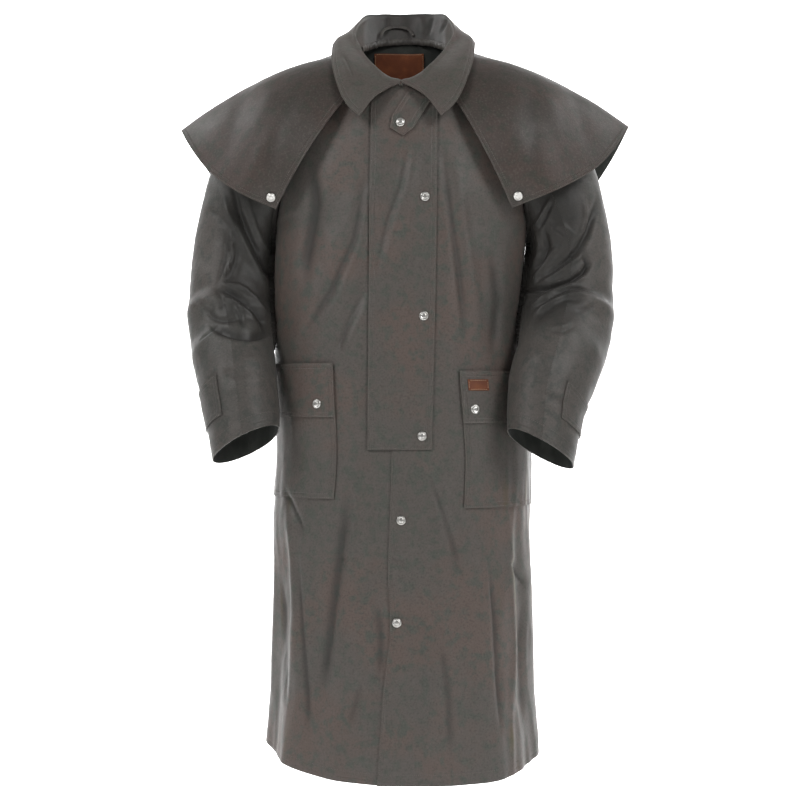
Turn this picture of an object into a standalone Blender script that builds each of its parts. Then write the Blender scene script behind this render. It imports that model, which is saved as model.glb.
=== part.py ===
"""Long oilskin duster coat with a shoulder cape, as worn, hollow, origin at the base of the neck.

Metres, +Z up, the front faces -Y, the wearer's left is +X.
"""

import bisect
import math

import bmesh
import bpy
import numpy as np
from mathutils import Vector

CLOTH = 0.0016
HEAVY_CLOTH = 0.0020
COLLAR_CLOTH = 0.0022
LIGHT_CLOTH = 0.0011
SEAM = 0.00015
GAP = 0.0005

# Length in metres of one whole step of q, of the yoke's rise and of a sleeve's turn
Q_LENGTH = 0.30
RISE_LENGTH = 0.10
TURN_LENGTH = 0.07

UNDERARM_Z = -0.310
SHOULDER_Z = -0.055
ARMHOLE_HALF_HEIGHT = (SHOULDER_Z - UNDERARM_Z) / 2
ARMHOLE_MIDDLE_Z = (SHOULDER_Z + UNDERARM_Z) / 2
ARMHOLE_DIP = 0.27
SHOULDER_X = 0.205
SECTION_POWER = 2.5

# Level sections of the body: height, middle in x, half width, depth in front, depth behind
# Columns: z, middle, half, front, back
SECTIONS = (
    (-1.240, -0.003, 0.2290, 0.190, 0.182),
    (-1.190, -0.003, 0.2270, 0.187, 0.178),
    (-1.080, -0.002, 0.2190, 0.178, 0.168),
    (-0.940, -0.001, 0.2155, 0.168, 0.158),
    (-0.800, -0.004, 0.2160, 0.160, 0.148),
    (-0.700, 0.001, 0.2135, 0.155, 0.140),
    (-0.570, -0.006, 0.2110, 0.149, 0.124),
    (-0.465, -0.0115, 0.2075, 0.145, 0.115),
    (-0.380, -0.009, 0.2105, 0.139, 0.118),
    (-0.310, -0.003, 0.2120, 0.135, 0.124),
)

# Hem height round the coat: q is 0 at centre front, 1 or -1 at the side seams, 2 or -2 behind
# Columns: q, z
HEM = (
    (-2.0, -1.190), (-1.5, -1.182), (-1.0, -1.165), (-0.7, -1.183), (-0.35, -1.204), (0.0, -1.213),
    (0.35, -1.212), (0.7, -1.200), (1.0, -1.182), (1.5, -1.186), (2.0, -1.190),
)

# Centre line from the underarm level up to the neck, then the neck seam round to its side point
FRONT_RISE = (
    (0, -0.135, -0.310), (0, -0.135, -0.250), (0, -0.132, -0.200), (0, -0.126, -0.155), (0, -0.117, -0.122),
    (0.004, -0.106, -0.094), (0.032, -0.098, -0.085), (0.057, -0.080, -0.068), (0.077, -0.044, -0.036),
    (0.082, 0.000, -0.008),
)
BACK_RISE = (
    (0, 0.124, -0.310), (0, 0.126, -0.240), (0, 0.124, -0.160), (0, 0.114, -0.080), (0, 0.096, -0.015),
    (0.004, 0.080, 0.027), (0.035, 0.073, 0.024), (0.064, 0.048, 0.012), (0.078, 0.022, 0.001),
    (0.082, 0.000, -0.008),
)
FRONT_NECK_RISE = 0.60
BACK_NECK_RISE = 0.76
CAPE_FRONT_RISE = 0.76
NECK_AXIS_Y = -0.010
BACK_NECK_EASE = 0.0026

# Free edge of the left front, which laps over the right one
# Columns: z, x
LAP_EDGE = (
    (-1.240, -0.037), (-1.120, -0.030), (-1.030, -0.023), (-0.970, -0.015), (-0.885, -0.019),
    (-0.680, -0.014), (-0.200, -0.014), (-0.120, -0.006), (-0.090, 0.000),
)
UNDERLAP_X = 0.028
UNDERLAP_DROP = CLOTH + GAP
UNDERLAP_TOP = {"z": -0.095, "run": 0.06}
UNDERLAP_RAMP = {"x": -0.060, "run": 0.020}

# Folds of the body cloth: where each starts and ends, half width in q, height outwards
# Columns: q_top, z_top, q_low, z_low, width, rise
FOLDS = (
    (-0.10, -0.20, -0.36, -0.46, 0.050, 0.0045),
    (-0.24, -0.24, -0.55, -0.50, 0.055, 0.0050),
    (-0.14, -0.44, -0.30, -0.58, 0.045, 0.0040),
    (0.31, -0.24, 0.28, -0.62, 0.050, 0.0045),
    (0.42, -0.30, 0.36, -0.54, 0.050, 0.0035),
    (0.21, -0.72, 0.25, -1.36, 0.050, 0.0060),
    (-0.22, -0.74, -0.30, -1.36, 0.065, 0.0065),
    (0.42, -0.80, 0.50, -1.36, 0.070, 0.0070),
    (-0.50, -0.80, -0.58, -1.36, 0.060, 0.0070),
    (0.66, -0.78, 0.74, -1.36, 0.055, -0.0060),
    (-0.68, -0.78, -0.76, -1.36, 0.055, -0.0060),
    (0.82, -0.80, 0.90, -1.30, 0.050, 0.0060),
    (-0.82, -0.80, -0.90, -1.30, 0.050, 0.0060),
    (1.22, -0.55, 1.16, -1.36, 0.080, -0.0080),
    (-1.22, -0.55, -1.16, -1.36, 0.080, -0.0080),
    (1.42, -0.50, 1.46, -1.36, 0.085, 0.0080),
    (-1.42, -0.50, -1.46, -1.36, 0.085, 0.0080),
    (1.68, -0.45, 1.66, -1.36, 0.085, -0.0080),
    (-1.68, -0.45, -1.66, -1.36, 0.085, -0.0080),
)

FRONT_LINES = (0.06, 0.14, 0.22, 0.30, 0.38, 0.45, 0.52, 0.59, 0.66, 0.73, 0.80, 0.87, 0.935, 1.0)
BACK_LINES = (0.0, 0.11, 0.22, 0.32, 0.42, 0.52, 0.62, 0.72, 0.82, 0.91, 1.0)
LEVEL_LINES = (
    -1.150, -1.100, -1.050, -1.000, -0.950, -0.900, -0.850, -0.800, -0.750, -0.710, -0.670, -0.630,
    -0.590, -0.550, -0.510, -0.470, -0.430, -0.390, -0.350, -0.310,
)
BOTTOM_ROW = -1.200
YOKE_RISES = (0.125, 0.25, 0.375, 0.50, 0.60, 0.68, 0.76, 0.84, 0.92, 1.0)

# Sleeve rings down from the underarm: middle, half width across, half depth, and how far the outer side drops
# Columns: x, y, z, half, depth, drop
SLEEVE_RINGS = {
    -1: (
        (-0.2892, 0.000, -0.360, 0.0688, 0.072, -0.010), (-0.2925, -0.022, -0.423, 0.0710, 0.072, 0.000),
        (-0.2850, -0.060, -0.500, 0.0670, 0.067, 0.006), (-0.2665, -0.112, -0.575, 0.0610, 0.061, 0.010),
        (-0.2570, -0.128, -0.629, 0.0570, 0.056, 0.014), (-0.2500, -0.142, -0.672, 0.0530, 0.052, 0.019),
    ),
    1: (
        (0.2794, 0.003, -0.360, 0.0726, 0.072, -0.010), (0.2766, -0.020, -0.438, 0.0764, 0.074, 0.004),
        (0.2687, -0.058, -0.490, 0.0728, 0.069, 0.010), (0.2543, -0.098, -0.540, 0.0640, 0.063, 0.018),
        (0.2348, -0.126, -0.595, 0.0585, 0.058, 0.022), (0.2253, -0.152, -0.678, 0.0530, 0.052, 0.024),
    ),
}
CAP_SHARE = 0.30
CAP_LIFT = (0.039, 0.0, 0.1075)
CAP_PUSH = 0.012
RING_TILT = 0.6
SLEEVE_ROWS = 18

# Sleeve folds: place round and along the sleeve, their half widths, slant and height outwards
# Columns: round, along, wide, long, slant, rise
SLEEVE_FOLDS = (
    (2.30, 0.50, 0.80, 0.030, 0.10, -0.0060),
    (2.50, 0.43, 0.70, 0.028, -0.06, 0.0050),
    (2.20, 0.58, 0.70, 0.030, 0.06, 0.0055),
    (1.20, 0.55, 0.60, 0.028, -0.08, -0.0050),
    (2.60, 0.68, 0.70, 0.030, 0.08, -0.0045),
    (4.10, 0.62, 0.70, 0.035, 0.06, -0.0050),
    (4.20, 0.38, 0.80, 0.035, -0.06, 0.0050),
)

# Half of the cape, from its front edge round to the centre back: points half way down and at the hem
CAPE_TABLE = (
    ((0.129, -0.140, -0.172), (0.1925, -0.118, -0.288)),
    ((0.178, -0.122, -0.126), (0.257, -0.128, -0.262)),
    ((0.212, -0.089, -0.089), (0.322, -0.090, -0.218)),
    ((0.232, -0.045, -0.062), (0.358, -0.048, -0.174)),
    ((0.236, -0.005, -0.054), (0.380, -0.005, -0.139)),
    ((0.232, 0.035, -0.058), (0.368, 0.050, -0.165)),
    ((0.212, 0.080, -0.076), (0.335, 0.105, -0.218)),
    ((0.150, 0.122, -0.118), (0.235, 0.158, -0.312)),
    ((0.000, 0.146, -0.140), (0.000, 0.178, -0.345)),
)
CAPE_COLUMNS = 18
CAPE_ROWS = 10
CAPE_WAVE = (0.0040, 3.0)
CAPE_FRONT_SHIFT = 0.012

# Half of the collar, from the centre back round to the front end: roll and free edge
COLLAR_TABLE = (
    ((0.000, 0.090, 0.077), (0.000, 0.114, 0.008)),
    ((0.040, 0.083, 0.076), (0.060, 0.109, 0.006)),
    ((0.069, 0.060, 0.069), (0.100, 0.080, 0.004)),
    ((0.087, 0.008, 0.031), (0.121, 0.006, 0.007)),
    ((0.073, -0.036, -0.006), (0.119, -0.058, -0.029)),
    ((0.047, -0.080, -0.042), (0.103, -0.121, -0.090)),
    ((0.026, -0.101, -0.062), (0.085, -0.140, -0.124)),
    ((0.003, -0.1145, -0.0765), (0.066, -0.152, -0.142)),
)
COLLAR_SIDE_ROW = 3
COLLAR_BACK_STEPS = 6
COLLAR_FRONT_STEPS = 10
ROLL_HALF = 0.0045
STAND_HOLLOW = 0.001
COLLAR_FALL = {"share": 0.55, "out": 0.006, "up": 0.003}
COLLAR_STEPS = (0, 0.16, 0.30, 0.36, 0.41, 0.46, 0.53, 0.65, 0.78, 0.90, 1.0)

# Columns: z, x_sewn, x_free
STORM_FLAP = ((-0.680, -0.0525, 0.0510), (-0.280, -0.0500, 0.0585), (-0.100, -0.0485, 0.0595))
STORM_OUT = GAP + HEAVY_CLOTH
STORM_ACROSS = 5
STORM_UPPER_ROWS = 8

# Pockets: side, q of the inner edge, q of the outer edge, top and bottom of the flap, bottom of the bag
# Columns: side, q_inner, q_outer, flap_top, flap_low, bag_low
POCKETS = (("right", -0.345, -0.915, -0.540, -0.628, -0.760), ("left", 0.345, 0.915, -0.553, -0.638, -0.774))
POCKET_OUT = GAP + CLOTH
POCKET_UNDER_FLAP = 0.012
POCKET_FLAP_OUT = POCKET_OUT + GAP + HEAVY_CLOTH

SNAP_PROFILE = ((0.0075, 0.0), (0.0075, 0.0010), (0.0064, 0.0022), (0.0040, 0.0019), (0.0034, 0.0026), (0.0, 0.0028))
SNAP_SIDES = 10
SNAP_CLEAR = 0.0008

THROAT_TAB = {"start": (0.031, -0.1025), "end": (-0.0065, -0.166), "half": 0.0200, "taper": 0.35, "steps": 8}
TAG = {"x_low": 0.108, "x_high": 0.140, "z_low": -0.585, "z_high": -0.567}
LABEL = {"q_low": 1.855, "q_high": 2.255, "rise_low": 0.585, "rise_high": 0.705}
HANGER = {"x": -0.015, "half": 0.0236, "foot": 0.05, "rise": 0.15, "radius": 0.0021, "place_per_metre": 2.04}
LINING = {"lines": 5, "low": 0.375, "high": BACK_NECK_RISE}
CUFF_STRAP = {"turn_front": 2.03, "turn_back": 4.40, "along_low": 0.788, "along_high": 0.905, "snap_in": 0.33}

# Snap caps on the fronts: place in x and height, and the layer that each one sits on
# Columns: name, x, z, out
FRONT_SNAPS = (
    ("snap_flap_1", 0.0395, -0.271, STORM_OUT),
    ("snap_flap_2", 0.0378, -0.4645, STORM_OUT),
    ("snap_flap_3", 0.0353, -0.658, STORM_OUT),
    ("snap_lower_1", 0.0020, -0.793, 0.0),
    ("snap_lower_2", -0.0045, -0.956, 0.0),
    ("snap_throat", -0.0005, -0.1510, STORM_OUT + 2 * GAP + HEAVY_CLOTH),
)
POCKET_SNAPS = (("snap_pocket_right", -0.134, -0.606), ("snap_pocket_left", 0.119, -0.615))
CAPE_SNAP = {"around": 0.028, "down": 0.950, "out": 0.0009}

MATERIALS = {
    "oilskin": ((0.095, 0.085, 0.075, 1), 0.55, 0.0),
    "cape_cloth": ((0.100, 0.082, 0.078, 1), 0.58, 0.0),
    "sleeve_cloth": ((0.070, 0.065, 0.055, 1), 0.48, 0.0),
    "lining": ((0.040, 0.048, 0.040, 1), 0.80, 0.0),
    "label": ((0.120, 0.030, 0.015, 1), 0.60, 0.0),
    "tag": ((0.110, 0.060, 0.035, 1), 0.70, 0.0),
    "snap": ((0.720, 0.720, 0.700, 1), 0.25, 1.0),
}


def clear_scene():
    for item in list(bpy.data.objects):
        bpy.data.objects.remove(item, do_unlink=True)


def make_material(name):
    colour, roughness, metallic = MATERIALS[name]
    material = bpy.data.materials.new(name)
    material.use_nodes = True
    shader = material.node_tree.nodes["Principled BSDF"]
    shader.inputs["Base Color"].default_value = colour
    shader.inputs["Roughness"].default_value = roughness
    shader.inputs["Metallic"].default_value = metallic
    return material


def table_slopes(xs, ys):
    """Slopes of a smooth curve through the rows that never overshoots them."""
    steps = np.diff(xs)
    rises = np.diff(ys, axis=0) / steps[:, None]
    slopes = np.zeros_like(ys)
    slopes[0] = rises[0]
    slopes[-1] = rises[-1]
    same_sign = rises[:-1] * rises[1:] > 0
    total = rises[:-1] + rises[1:]
    slopes[1:-1] = np.where(same_sign, 2 * rises[:-1] * rises[1:] / np.where(same_sign, total, 1), 0)
    return slopes


class Curve:
    """Smooth curve through table rows, read at any place along it."""

    def __init__(self, places, rows):
        self.places = np.array(places, float)
        self.rows = np.array(rows, float)
        self.slopes = table_slopes(self.places, self.rows)

    def at(self, place):
        place = min(max(place, self.places[0]), self.places[-1])
        i = min(bisect.bisect_right(self.places, place), len(self.places) - 1) - 1
        width = self.places[i + 1] - self.places[i]
        t = (place - self.places[i]) / width
        h00 = 2 * t**3 - 3 * t**2 + 1
        h10 = t**3 - 2 * t**2 + t
        h01 = -2 * t**3 + 3 * t**2
        h11 = t**3 - t**2
        ends = h00 * self.rows[i] + h01 * self.rows[i + 1]
        return ends + width * (h10 * self.slopes[i] + h11 * self.slopes[i + 1])


def curve_of(table):
    return Curve([row[0] for row in table], [row[1:] for row in table])


def curve_by_length(points, split=None, share=None):
    """Curve through points, read from 0 to 1 by length, with its split point at the given share."""
    points = np.array(points, float)
    lengths = np.concatenate([[0], np.cumsum(np.linalg.norm(np.diff(points, axis=0), axis=1))])
    places = lengths / lengths[-1]
    if split is not None:
        knee = places[split]
        places = np.where(places <= knee, places / knee * share, share + (places - knee) / (1 - knee) * (1 - share))
    return Curve(places, points)


section_curve = curve_of(SECTIONS)
hem_curve = curve_of(HEM)
lap_curve = curve_of(LAP_EDGE)
storm_curve = curve_of(STORM_FLAP)
front_rise = curve_by_length(FRONT_RISE, 5, FRONT_NECK_RISE)
back_rise = curve_by_length(BACK_RISE, 5, BACK_NECK_RISE)


def smooth_step(t):
    t = min(max(t, 0.0), 1.0)
    return t * t * (3 - 2 * t)


def quarter_outline():
    """Unit quarter of the rounded section, as share of length, across and forward values."""
    angles = np.linspace(0, math.pi / 2, 91)
    across = np.sin(angles) ** (2 / SECTION_POWER)
    forward = np.cos(angles) ** (2 / SECTION_POWER)
    return across, forward


QUARTER_ACROSS, QUARTER_FORWARD = quarter_outline()


def quarter_point(share, half, depth):
    """Point of a quarter section at a share of its length from the centre line."""
    x = QUARTER_ACROSS * half
    y = QUARTER_FORWARD * depth
    lengths = np.concatenate([[0], np.cumsum(np.hypot(np.diff(x), np.diff(y)))])
    place = share * lengths[-1]
    return float(np.interp(place, lengths, x)), float(np.interp(place, lengths, y))


def share_at_x(x, half, depth):
    """Share of the quarter's length at a distance x from the centre line."""
    across = QUARTER_ACROSS * half
    forward = QUARTER_FORWARD * depth
    lengths = np.concatenate([[0], np.cumsum(np.hypot(np.diff(across), np.diff(forward)))])
    return float(np.interp(x, across, lengths / lengths[-1]))


def split_q(q):
    """Side, share from the centre line and whether the point is on the back."""
    q = q - 4 if q > 2 else q + 4 if q < -2 else q
    side = -1 if q < 0 else 1
    size = abs(q)
    if size <= 1:
        return side, size, False
    return side, 2 - size, True


def level_point(q, z):
    """Body surface below the underarm."""
    middle, half, front, back = section_curve.at(z)
    side, share, behind = split_q(q)
    x, y = quarter_point(share, half, back if behind else front)
    return np.array((middle + side * x, y if behind else -y, z))


def armhole_base(side, turn):
    """Armhole seam: turn is 0 at the underarm, half a turn at the shoulder point, front first."""
    lift = (1 - math.cos(turn)) / 2
    share = 1 - ARMHOLE_DIP * abs(math.sin(turn))
    middle, half, front, back = section_curve.at(UNDERARM_Z)
    behind = math.sin(turn) < 0
    x, y = quarter_point(share, half + (SHOULDER_X - half) * lift, back if behind else front)
    z = ARMHOLE_MIDDLE_Z - ARMHOLE_HALF_HEIGHT * math.cos(turn)
    return np.array((side * x + middle * (1 - lift), y if behind else -y, z))


def yoke_point(q, rise):
    """Body surface above the underarm: rise is 0 at the underarm level and 1 at the shoulder seam."""
    side, share, behind = split_q(q)
    inner = np.array((back_rise if behind else front_rise).at(rise))
    middle, half, front, back = section_curve.at(UNDERARM_Z)
    inner[0] = side * inner[0] + middle * (1 - smooth_step(rise * 2))
    outer = armhole_base(side, math.pi * rise * (-1 if behind else 1))
    x, y = quarter_point(share, half, back if behind else front)
    across = x / half + (share - x / half) * rise
    inward = 1 - y / (back if behind else front)
    climb = share + (smooth_step(share) - share) * (1 - rise)
    return np.array((
        inner[0] + (outer[0] - inner[0]) * across,
        inner[1] + (outer[1] - inner[1]) * inward,
        inner[2] + (outer[2] - inner[2]) * climb,
    ))


def body_base(q, level):
    """Body surface by q and level: heights up to the underarm, then 0 to 1 of the yoke above it."""
    if level <= UNDERARM_Z:
        return level_point(q, level)
    return yoke_point(q, level - UNDERARM_Z)


def body_normal(q, level):
    """Outward direction; above the underarm each panel keeps to its own side of the armhole."""
    step = 0.012
    low_q, high_q = q - step, q + step
    if level > UNDERARM_Z:
        side = -1 if q < 0 else 1
        if abs(q) <= 1:
            low_q, high_q = max(low_q, -1), min(high_q, 1)
        elif side > 0:
            low_q = max(low_q, 1.0001)
        else:
            high_q = min(high_q, -1.0001)
    top = UNDERARM_Z + 1
    if level + step <= top:
        higher = body_base(q, level + step)
    else:
        across_seam = math.copysign(2 - abs(q), q)
        higher = body_base(across_seam, 2 * top - level - step)
    along = body_base(high_q, level) - body_base(low_q, level)
    normal = np.cross(along, higher - body_base(q, level - step))
    return normal / np.linalg.norm(normal)


def fold_height(q, z):
    total = 0.0
    for q_top, z_top, q_low, z_low, width, rise in FOLDS:
        t = (z_top - z) / (z_top - z_low)
        if 0 < t < 1:
            ends = smooth_step(t / 0.25) * smooth_step((1 - t) / 0.25)
            total += rise * ends * math.exp(-(((q - q_top - (q_low - q_top) * t) / width) ** 2))
    return total


def body_point(q, level, out):
    base = body_base(q, level)
    return base + body_normal(q, level) * (fold_height(q, base[2]) + out)


def facet_point(surface, columns, rows, column, row, out):
    """Point over the flat facets that a panel is made of, for what is sewn on it."""
    i = min(max(bisect.bisect_right(columns, column), 1), len(columns) - 1)
    k = min(max(bisect.bisect_right(rows, row), 1), len(rows) - 1)
    s = (column - columns[i - 1]) / (columns[i] - columns[i - 1])
    t = (row - rows[k - 1]) / (rows[k] - rows[k - 1])
    low = surface(columns[i - 1], rows[k - 1], out) * (1 - s) + surface(columns[i], rows[k - 1], out) * s
    high = surface(columns[i - 1], rows[k], out) * (1 - s) + surface(columns[i], rows[k], out) * s
    return low * (1 - t) + high * t


def body_facet_point(q, level, out):
    side = -1 if q < 0 else 1
    columns = (0.0,) + FRONT_LINES
    return facet_point(lambda u, v, w: body_point(side * u, v, w), columns, LEVEL_LINES, abs(q), level, out)


def q_at_x(x, z):
    """Front q of a distance x from the axis at a height below the underarm."""
    middle, half, front, _ = section_curve.at(z)
    away = x - middle
    return math.copysign(share_at_x(abs(away), half, front), away)


def body_place(x, z):
    """The q and level of a point of the front, given by its x and height."""
    if z <= UNDERARM_Z:
        return q_at_x(x, z), z
    q = q_at_x(x, UNDERARM_Z)
    rise = (z - UNDERARM_Z) * 1.2
    for _ in range(12):
        point = yoke_point(q, rise)
        wider = yoke_point(q + 0.01, rise)
        higher = yoke_point(q, rise + 0.01)
        q += min(max((x - point[0]) / (wider[0] - point[0]) * 0.01, -0.1), 0.1)
        rise += min(max((z - point[2]) / (higher[2] - point[2]) * 0.01, -0.1), 0.1)
        rise = min(max(rise, 0.0), 0.98)
    return q, UNDERARM_Z + rise


def front_point(x, z, out):
    q, level = body_place(x, z)
    return body_point(q, level, out)


def between(low, high, lines):
    """A row of lines that starts and ends at the given values and takes in those of a panel."""
    inside = [line for line in lines if low + 0.004 < line < high - 0.004]
    return [low] + inside + [high]


def new_object(name, mesh_maker, material):
    mesh = bpy.data.meshes.new(name)
    mesh_maker.normal_update()
    mesh_maker.to_mesh(mesh)
    mesh_maker.free()
    mesh.shade_smooth()
    mesh.set_sharp_from_angle(angle=math.radians(50))
    mesh.materials.append(make_material(material))
    item = bpy.data.objects.new(name, mesh)
    coat.objects.link(item)
    item.parent = holder
    return item


def wall(name, columns, rows, place, thickness, material, flip=False):
    """Closed cloth wall from a grid: place(column, row, depth) gives the point below the outer face."""
    maker = bmesh.new()
    bmesh.ops.create_grid(maker, x_segments=len(columns) - 1, y_segments=len(rows) - 1, size=1)
    outer = list(maker.verts)
    spots = {}
    for vert in outer:
        i = round((vert.co.x + 1) / 2 * (len(columns) - 1))
        k = round((vert.co.y + 1) / 2 * (len(rows) - 1))
        spots[vert] = (columns[i], rows[k])
    copy = bmesh.ops.duplicate(maker, geom=maker.verts[:] + maker.edges[:] + maker.faces[:])
    inner_faces = [item for item in copy["geom"] if isinstance(item, bmesh.types.BMFace)]
    for vert in outer:
        column, row = spots[vert]
        copy["vert_map"][vert].co = place(column, row, thickness)
    for vert in outer:
        vert.co = place(*spots[vert], 0.0)
    bmesh.ops.reverse_faces(maker, faces=inner_faces)
    rims = [edge for edge in maker.edges if edge.is_boundary]
    bmesh.ops.bridge_loops(maker, edges=rims)
    if flip:
        bmesh.ops.reverse_faces(maker, faces=maker.faces[:])
    return new_object(name, maker, material)


def hem_height(q):
    return float(hem_curve.at(q)[0])


def panel_level(q, row):
    """Rows are heights; those near the hem close up towards its curve."""
    top = LEVEL_LINES[2]
    if row >= top:
        return row
    return top + (hem_height(q) - top) * (top - row) / (top - BOTTOM_ROW)


def lap_q(side, level):
    """Where the inner edge of a front lies at each level."""
    z = body_base(0, level)[2]
    if side > 0:
        x = float(lap_curve.at(z)[0])
    else:
        x = UNDERLAP_X * smooth_step((UNDERLAP_TOP["z"] - z) / UNDERLAP_TOP["run"])
    if level <= UNDERARM_Z:
        return q_at_x(x, z)
    return x / Q_LENGTH


def underlap_drop(q, level):
    """The right front sinks where the left one lies over it."""
    x = body_base(q, level)[0]
    return UNDERLAP_DROP * smooth_step((x - UNDERLAP_RAMP["x"]) / UNDERLAP_RAMP["run"])


def make_front(side, name):
    rows = [BOTTOM_ROW] + list(LEVEL_LINES)
    rows += [UNDERARM_Z + rise for rise in YOKE_RISES]
    rows[-1] -= SEAM / RISE_LENGTH
    columns = [None] + list(FRONT_LINES)
    columns[-1] -= SEAM / Q_LENGTH

    def place(column, row, depth):
        level = panel_level(side * (column or 0.0), row)
        if column is None:
            q = lap_q(side, level) + side * SEAM / Q_LENGTH
        else:
            q = side * column
        drop = underlap_drop(q, level) if side < 0 else 0.0
        return body_point(q, level, -depth - drop)

    return wall(name, columns, rows, place, CLOTH, "oilskin", flip=side < 0)


def make_back(side, name):
    rows = [BOTTOM_ROW] + list(LEVEL_LINES)
    rows += [UNDERARM_Z + rise for rise in YOKE_RISES]
    rows[-1] -= SEAM / RISE_LENGTH
    columns = [2 - line for line in BACK_LINES]
    columns[0] -= SEAM / Q_LENGTH
    columns[-1] += SEAM / Q_LENGTH

    def place(column, row, depth):
        level = panel_level(side * column, row)
        return body_point(side * column, level, -depth)

    return wall(name, columns, rows, place, CLOTH, "oilskin", flip=side > 0)


ring_curves = {side: curve_by_length([row[:3] for row in rows]) for side, rows in SLEEVE_RINGS.items()}


def ring_sizes(side, along):
    rows = SLEEVE_RINGS[side]
    places = ring_curves[side].places
    return [float(np.interp(along, places, [row[k] for row in rows])) for k in (3, 4, 5)]


def ring_point(side, turn, along):
    """Point of a sleeve ring: turn is 0 next to the body, then the front, then the outer side."""
    centre = ring_curves[side].at(along)
    ahead = ring_curves[side].at(min(along + 0.05, 1)) - ring_curves[side].at(max(along - 0.05, 0))
    ahead = ahead / np.linalg.norm(ahead)
    half, depth, drop = ring_sizes(side, along)
    across = np.array((side, 0, 0)) - ahead * ahead[0] * side
    across = across / np.linalg.norm(across)
    forward = np.cross(ahead, across) * side
    forward = forward * (-1 if forward[1] > 0 else 1)
    fade = smooth_step(along * 2)
    tilt = RING_TILT * (1 - fade)
    point = centre - across * half * math.cos(turn) + forward * depth * math.sin(turn) * (1 - tilt)
    point = point + np.array((0, -depth * math.sin(turn), 0)) * tilt
    point[2] += drop * math.cos(turn)
    return point


def sleeve_base(side, turn, along):
    if along >= CAP_SHARE:
        return ring_point(side, turn, (along - CAP_SHARE) / (1 - CAP_SHARE))
    t = along / CAP_SHARE
    over_edge = GAP + CLOTH * math.sqrt((1 + math.cos(turn)) / 2)
    start = armhole_base(side, turn) + np.array((side, 0, 0)) * over_edge
    end = ring_point(side, turn, 0.0)
    weight = ((1 - math.cos(turn)) / 2) ** 2
    lift = np.array(CAP_LIFT) * weight + np.array((CAP_PUSH, 0, 0)) * (1 - weight)
    lift[0] *= side
    control = (start + end) / 2 + lift
    return start * (1 - t) ** 2 + control * 2 * t * (1 - t) + end * t**2


def sleeve_fold(side, turn, along):
    total = 0.0
    for around, place, wide, long, slant, rise in SLEEVE_FOLDS:
        away = math.remainder(turn - around, 2 * math.pi)
        middle = place + slant * away / math.pi
        total += rise * math.exp(-((away / wide) ** 2) - ((along - middle) / long) ** 2)
    return total


def sleeve_point(side, turn, along, out):
    step = 0.01
    low = max(along - step, 0)
    high = min(along + step, 1)
    around = sleeve_base(side, turn + step, along) - sleeve_base(side, turn - step, along)
    down = sleeve_base(side, turn, high) - sleeve_base(side, turn, low)
    normal = np.cross(down, around) * -side
    normal = normal / np.linalg.norm(normal)
    return sleeve_base(side, turn, along) + normal * (out + sleeve_fold(side, turn, along))


sleeve_rows = [k / SLEEVE_ROWS for k in range(SLEEVE_ROWS + 1)]
upper_turns = [math.pi * rise for rise in YOKE_RISES if rise >= 0.5]
lower_turns = [0.0] + [math.pi * rise for rise in YOKE_RISES if rise <= 0.5]
sleeve_turns = upper_turns + [2 * math.pi - turn for turn in reversed(upper_turns[:-1])]
under_turns = [-turn for turn in reversed(lower_turns[1:])] + lower_turns


def sleeve_facet_point(side, turn, along, out):
    return facet_point(lambda u, v, w: sleeve_point(side, u, v, w), sleeve_turns, sleeve_rows, turn, along, out)


def make_sleeve_half(side, name, lines):
    edge = SEAM / TURN_LENGTH
    turns = [lines[0] + edge] + lines[1:-1] + [lines[-1] - edge]

    def place(turn, row, depth):
        return sleeve_point(side, turn, row, -depth)

    return wall(name, turns, sleeve_rows, place, CLOTH, "sleeve_cloth", flip=side < 0)


def neck_corners(q, lowest):
    """Corners of the neck edge of the body's facets, on the wearer's left."""
    rises = [rise for rise in YOKE_RISES if rise >= lowest]
    return rises, np.array([body_point(q, UNDERARM_Z + rise, 0) for rise in rises])


front_neck = neck_corners(0.0001, FRONT_NECK_RISE)
back_neck = neck_corners(2.0, BACK_NECK_RISE)


def neck_point(rise, behind):
    rises, corners = back_neck if behind else front_neck
    return np.array([np.interp(rise, rises, corners[:, k]) for k in range(3)])


def neck_outward(point):
    away = np.array((point[0], point[1] - NECK_AXIS_Y, 0))
    return away / np.linalg.norm(away)


def blend_row(table, place):
    """Points of a table of point pairs at a place from 0 to 1 along it."""
    places = [k / (len(table) - 1) for k in range(len(table))]
    flat = [[value for point in row for value in point] for row in table]
    return Curve(places, flat).at(place).reshape(2, 3)


def cape_neck(around):
    """Neck edge of the cape, just outside the collar seam and over the body."""
    if around <= 0.5:
        seam = neck_point(CAPE_FRONT_RISE + (1 - CAPE_FRONT_RISE) * around * 2, False)
    else:
        seam = neck_point(1 - (1 - BACK_NECK_RISE) * (around * 2 - 1), True)
    behind = smooth_step((around - 0.5) / 0.1)
    lift = np.array((0, 0, CLOTH + 2 * GAP + BACK_NECK_EASE * behind))
    return seam + neck_outward(seam) * (COLLAR_CLOTH + GAP + BACK_NECK_EASE * behind) + lift


def cape_base(side, around, down):
    neck = cape_neck(around)
    middle, hem = blend_row(CAPE_TABLE, around)
    a = (down - 0.5) * (down - 1) * 2
    b = -down * (down - 1) * 4
    c = down * (down - 0.5) * 2
    point = neck * a + middle * b + hem * c
    wave, count = CAPE_WAVE
    swell = wave * down**2 * math.sin(around * count * 2 * math.pi) * smooth_step(around / 0.15)
    point[1] += swell * (1 if around > 0.5 else -1) * smooth_step((1 - around) / 0.1)
    point[0] -= side * CAPE_FRONT_SHIFT * smooth_step(1 - around / 0.3) * down
    return np.array((point[0] * side, point[1], point[2]))


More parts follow.
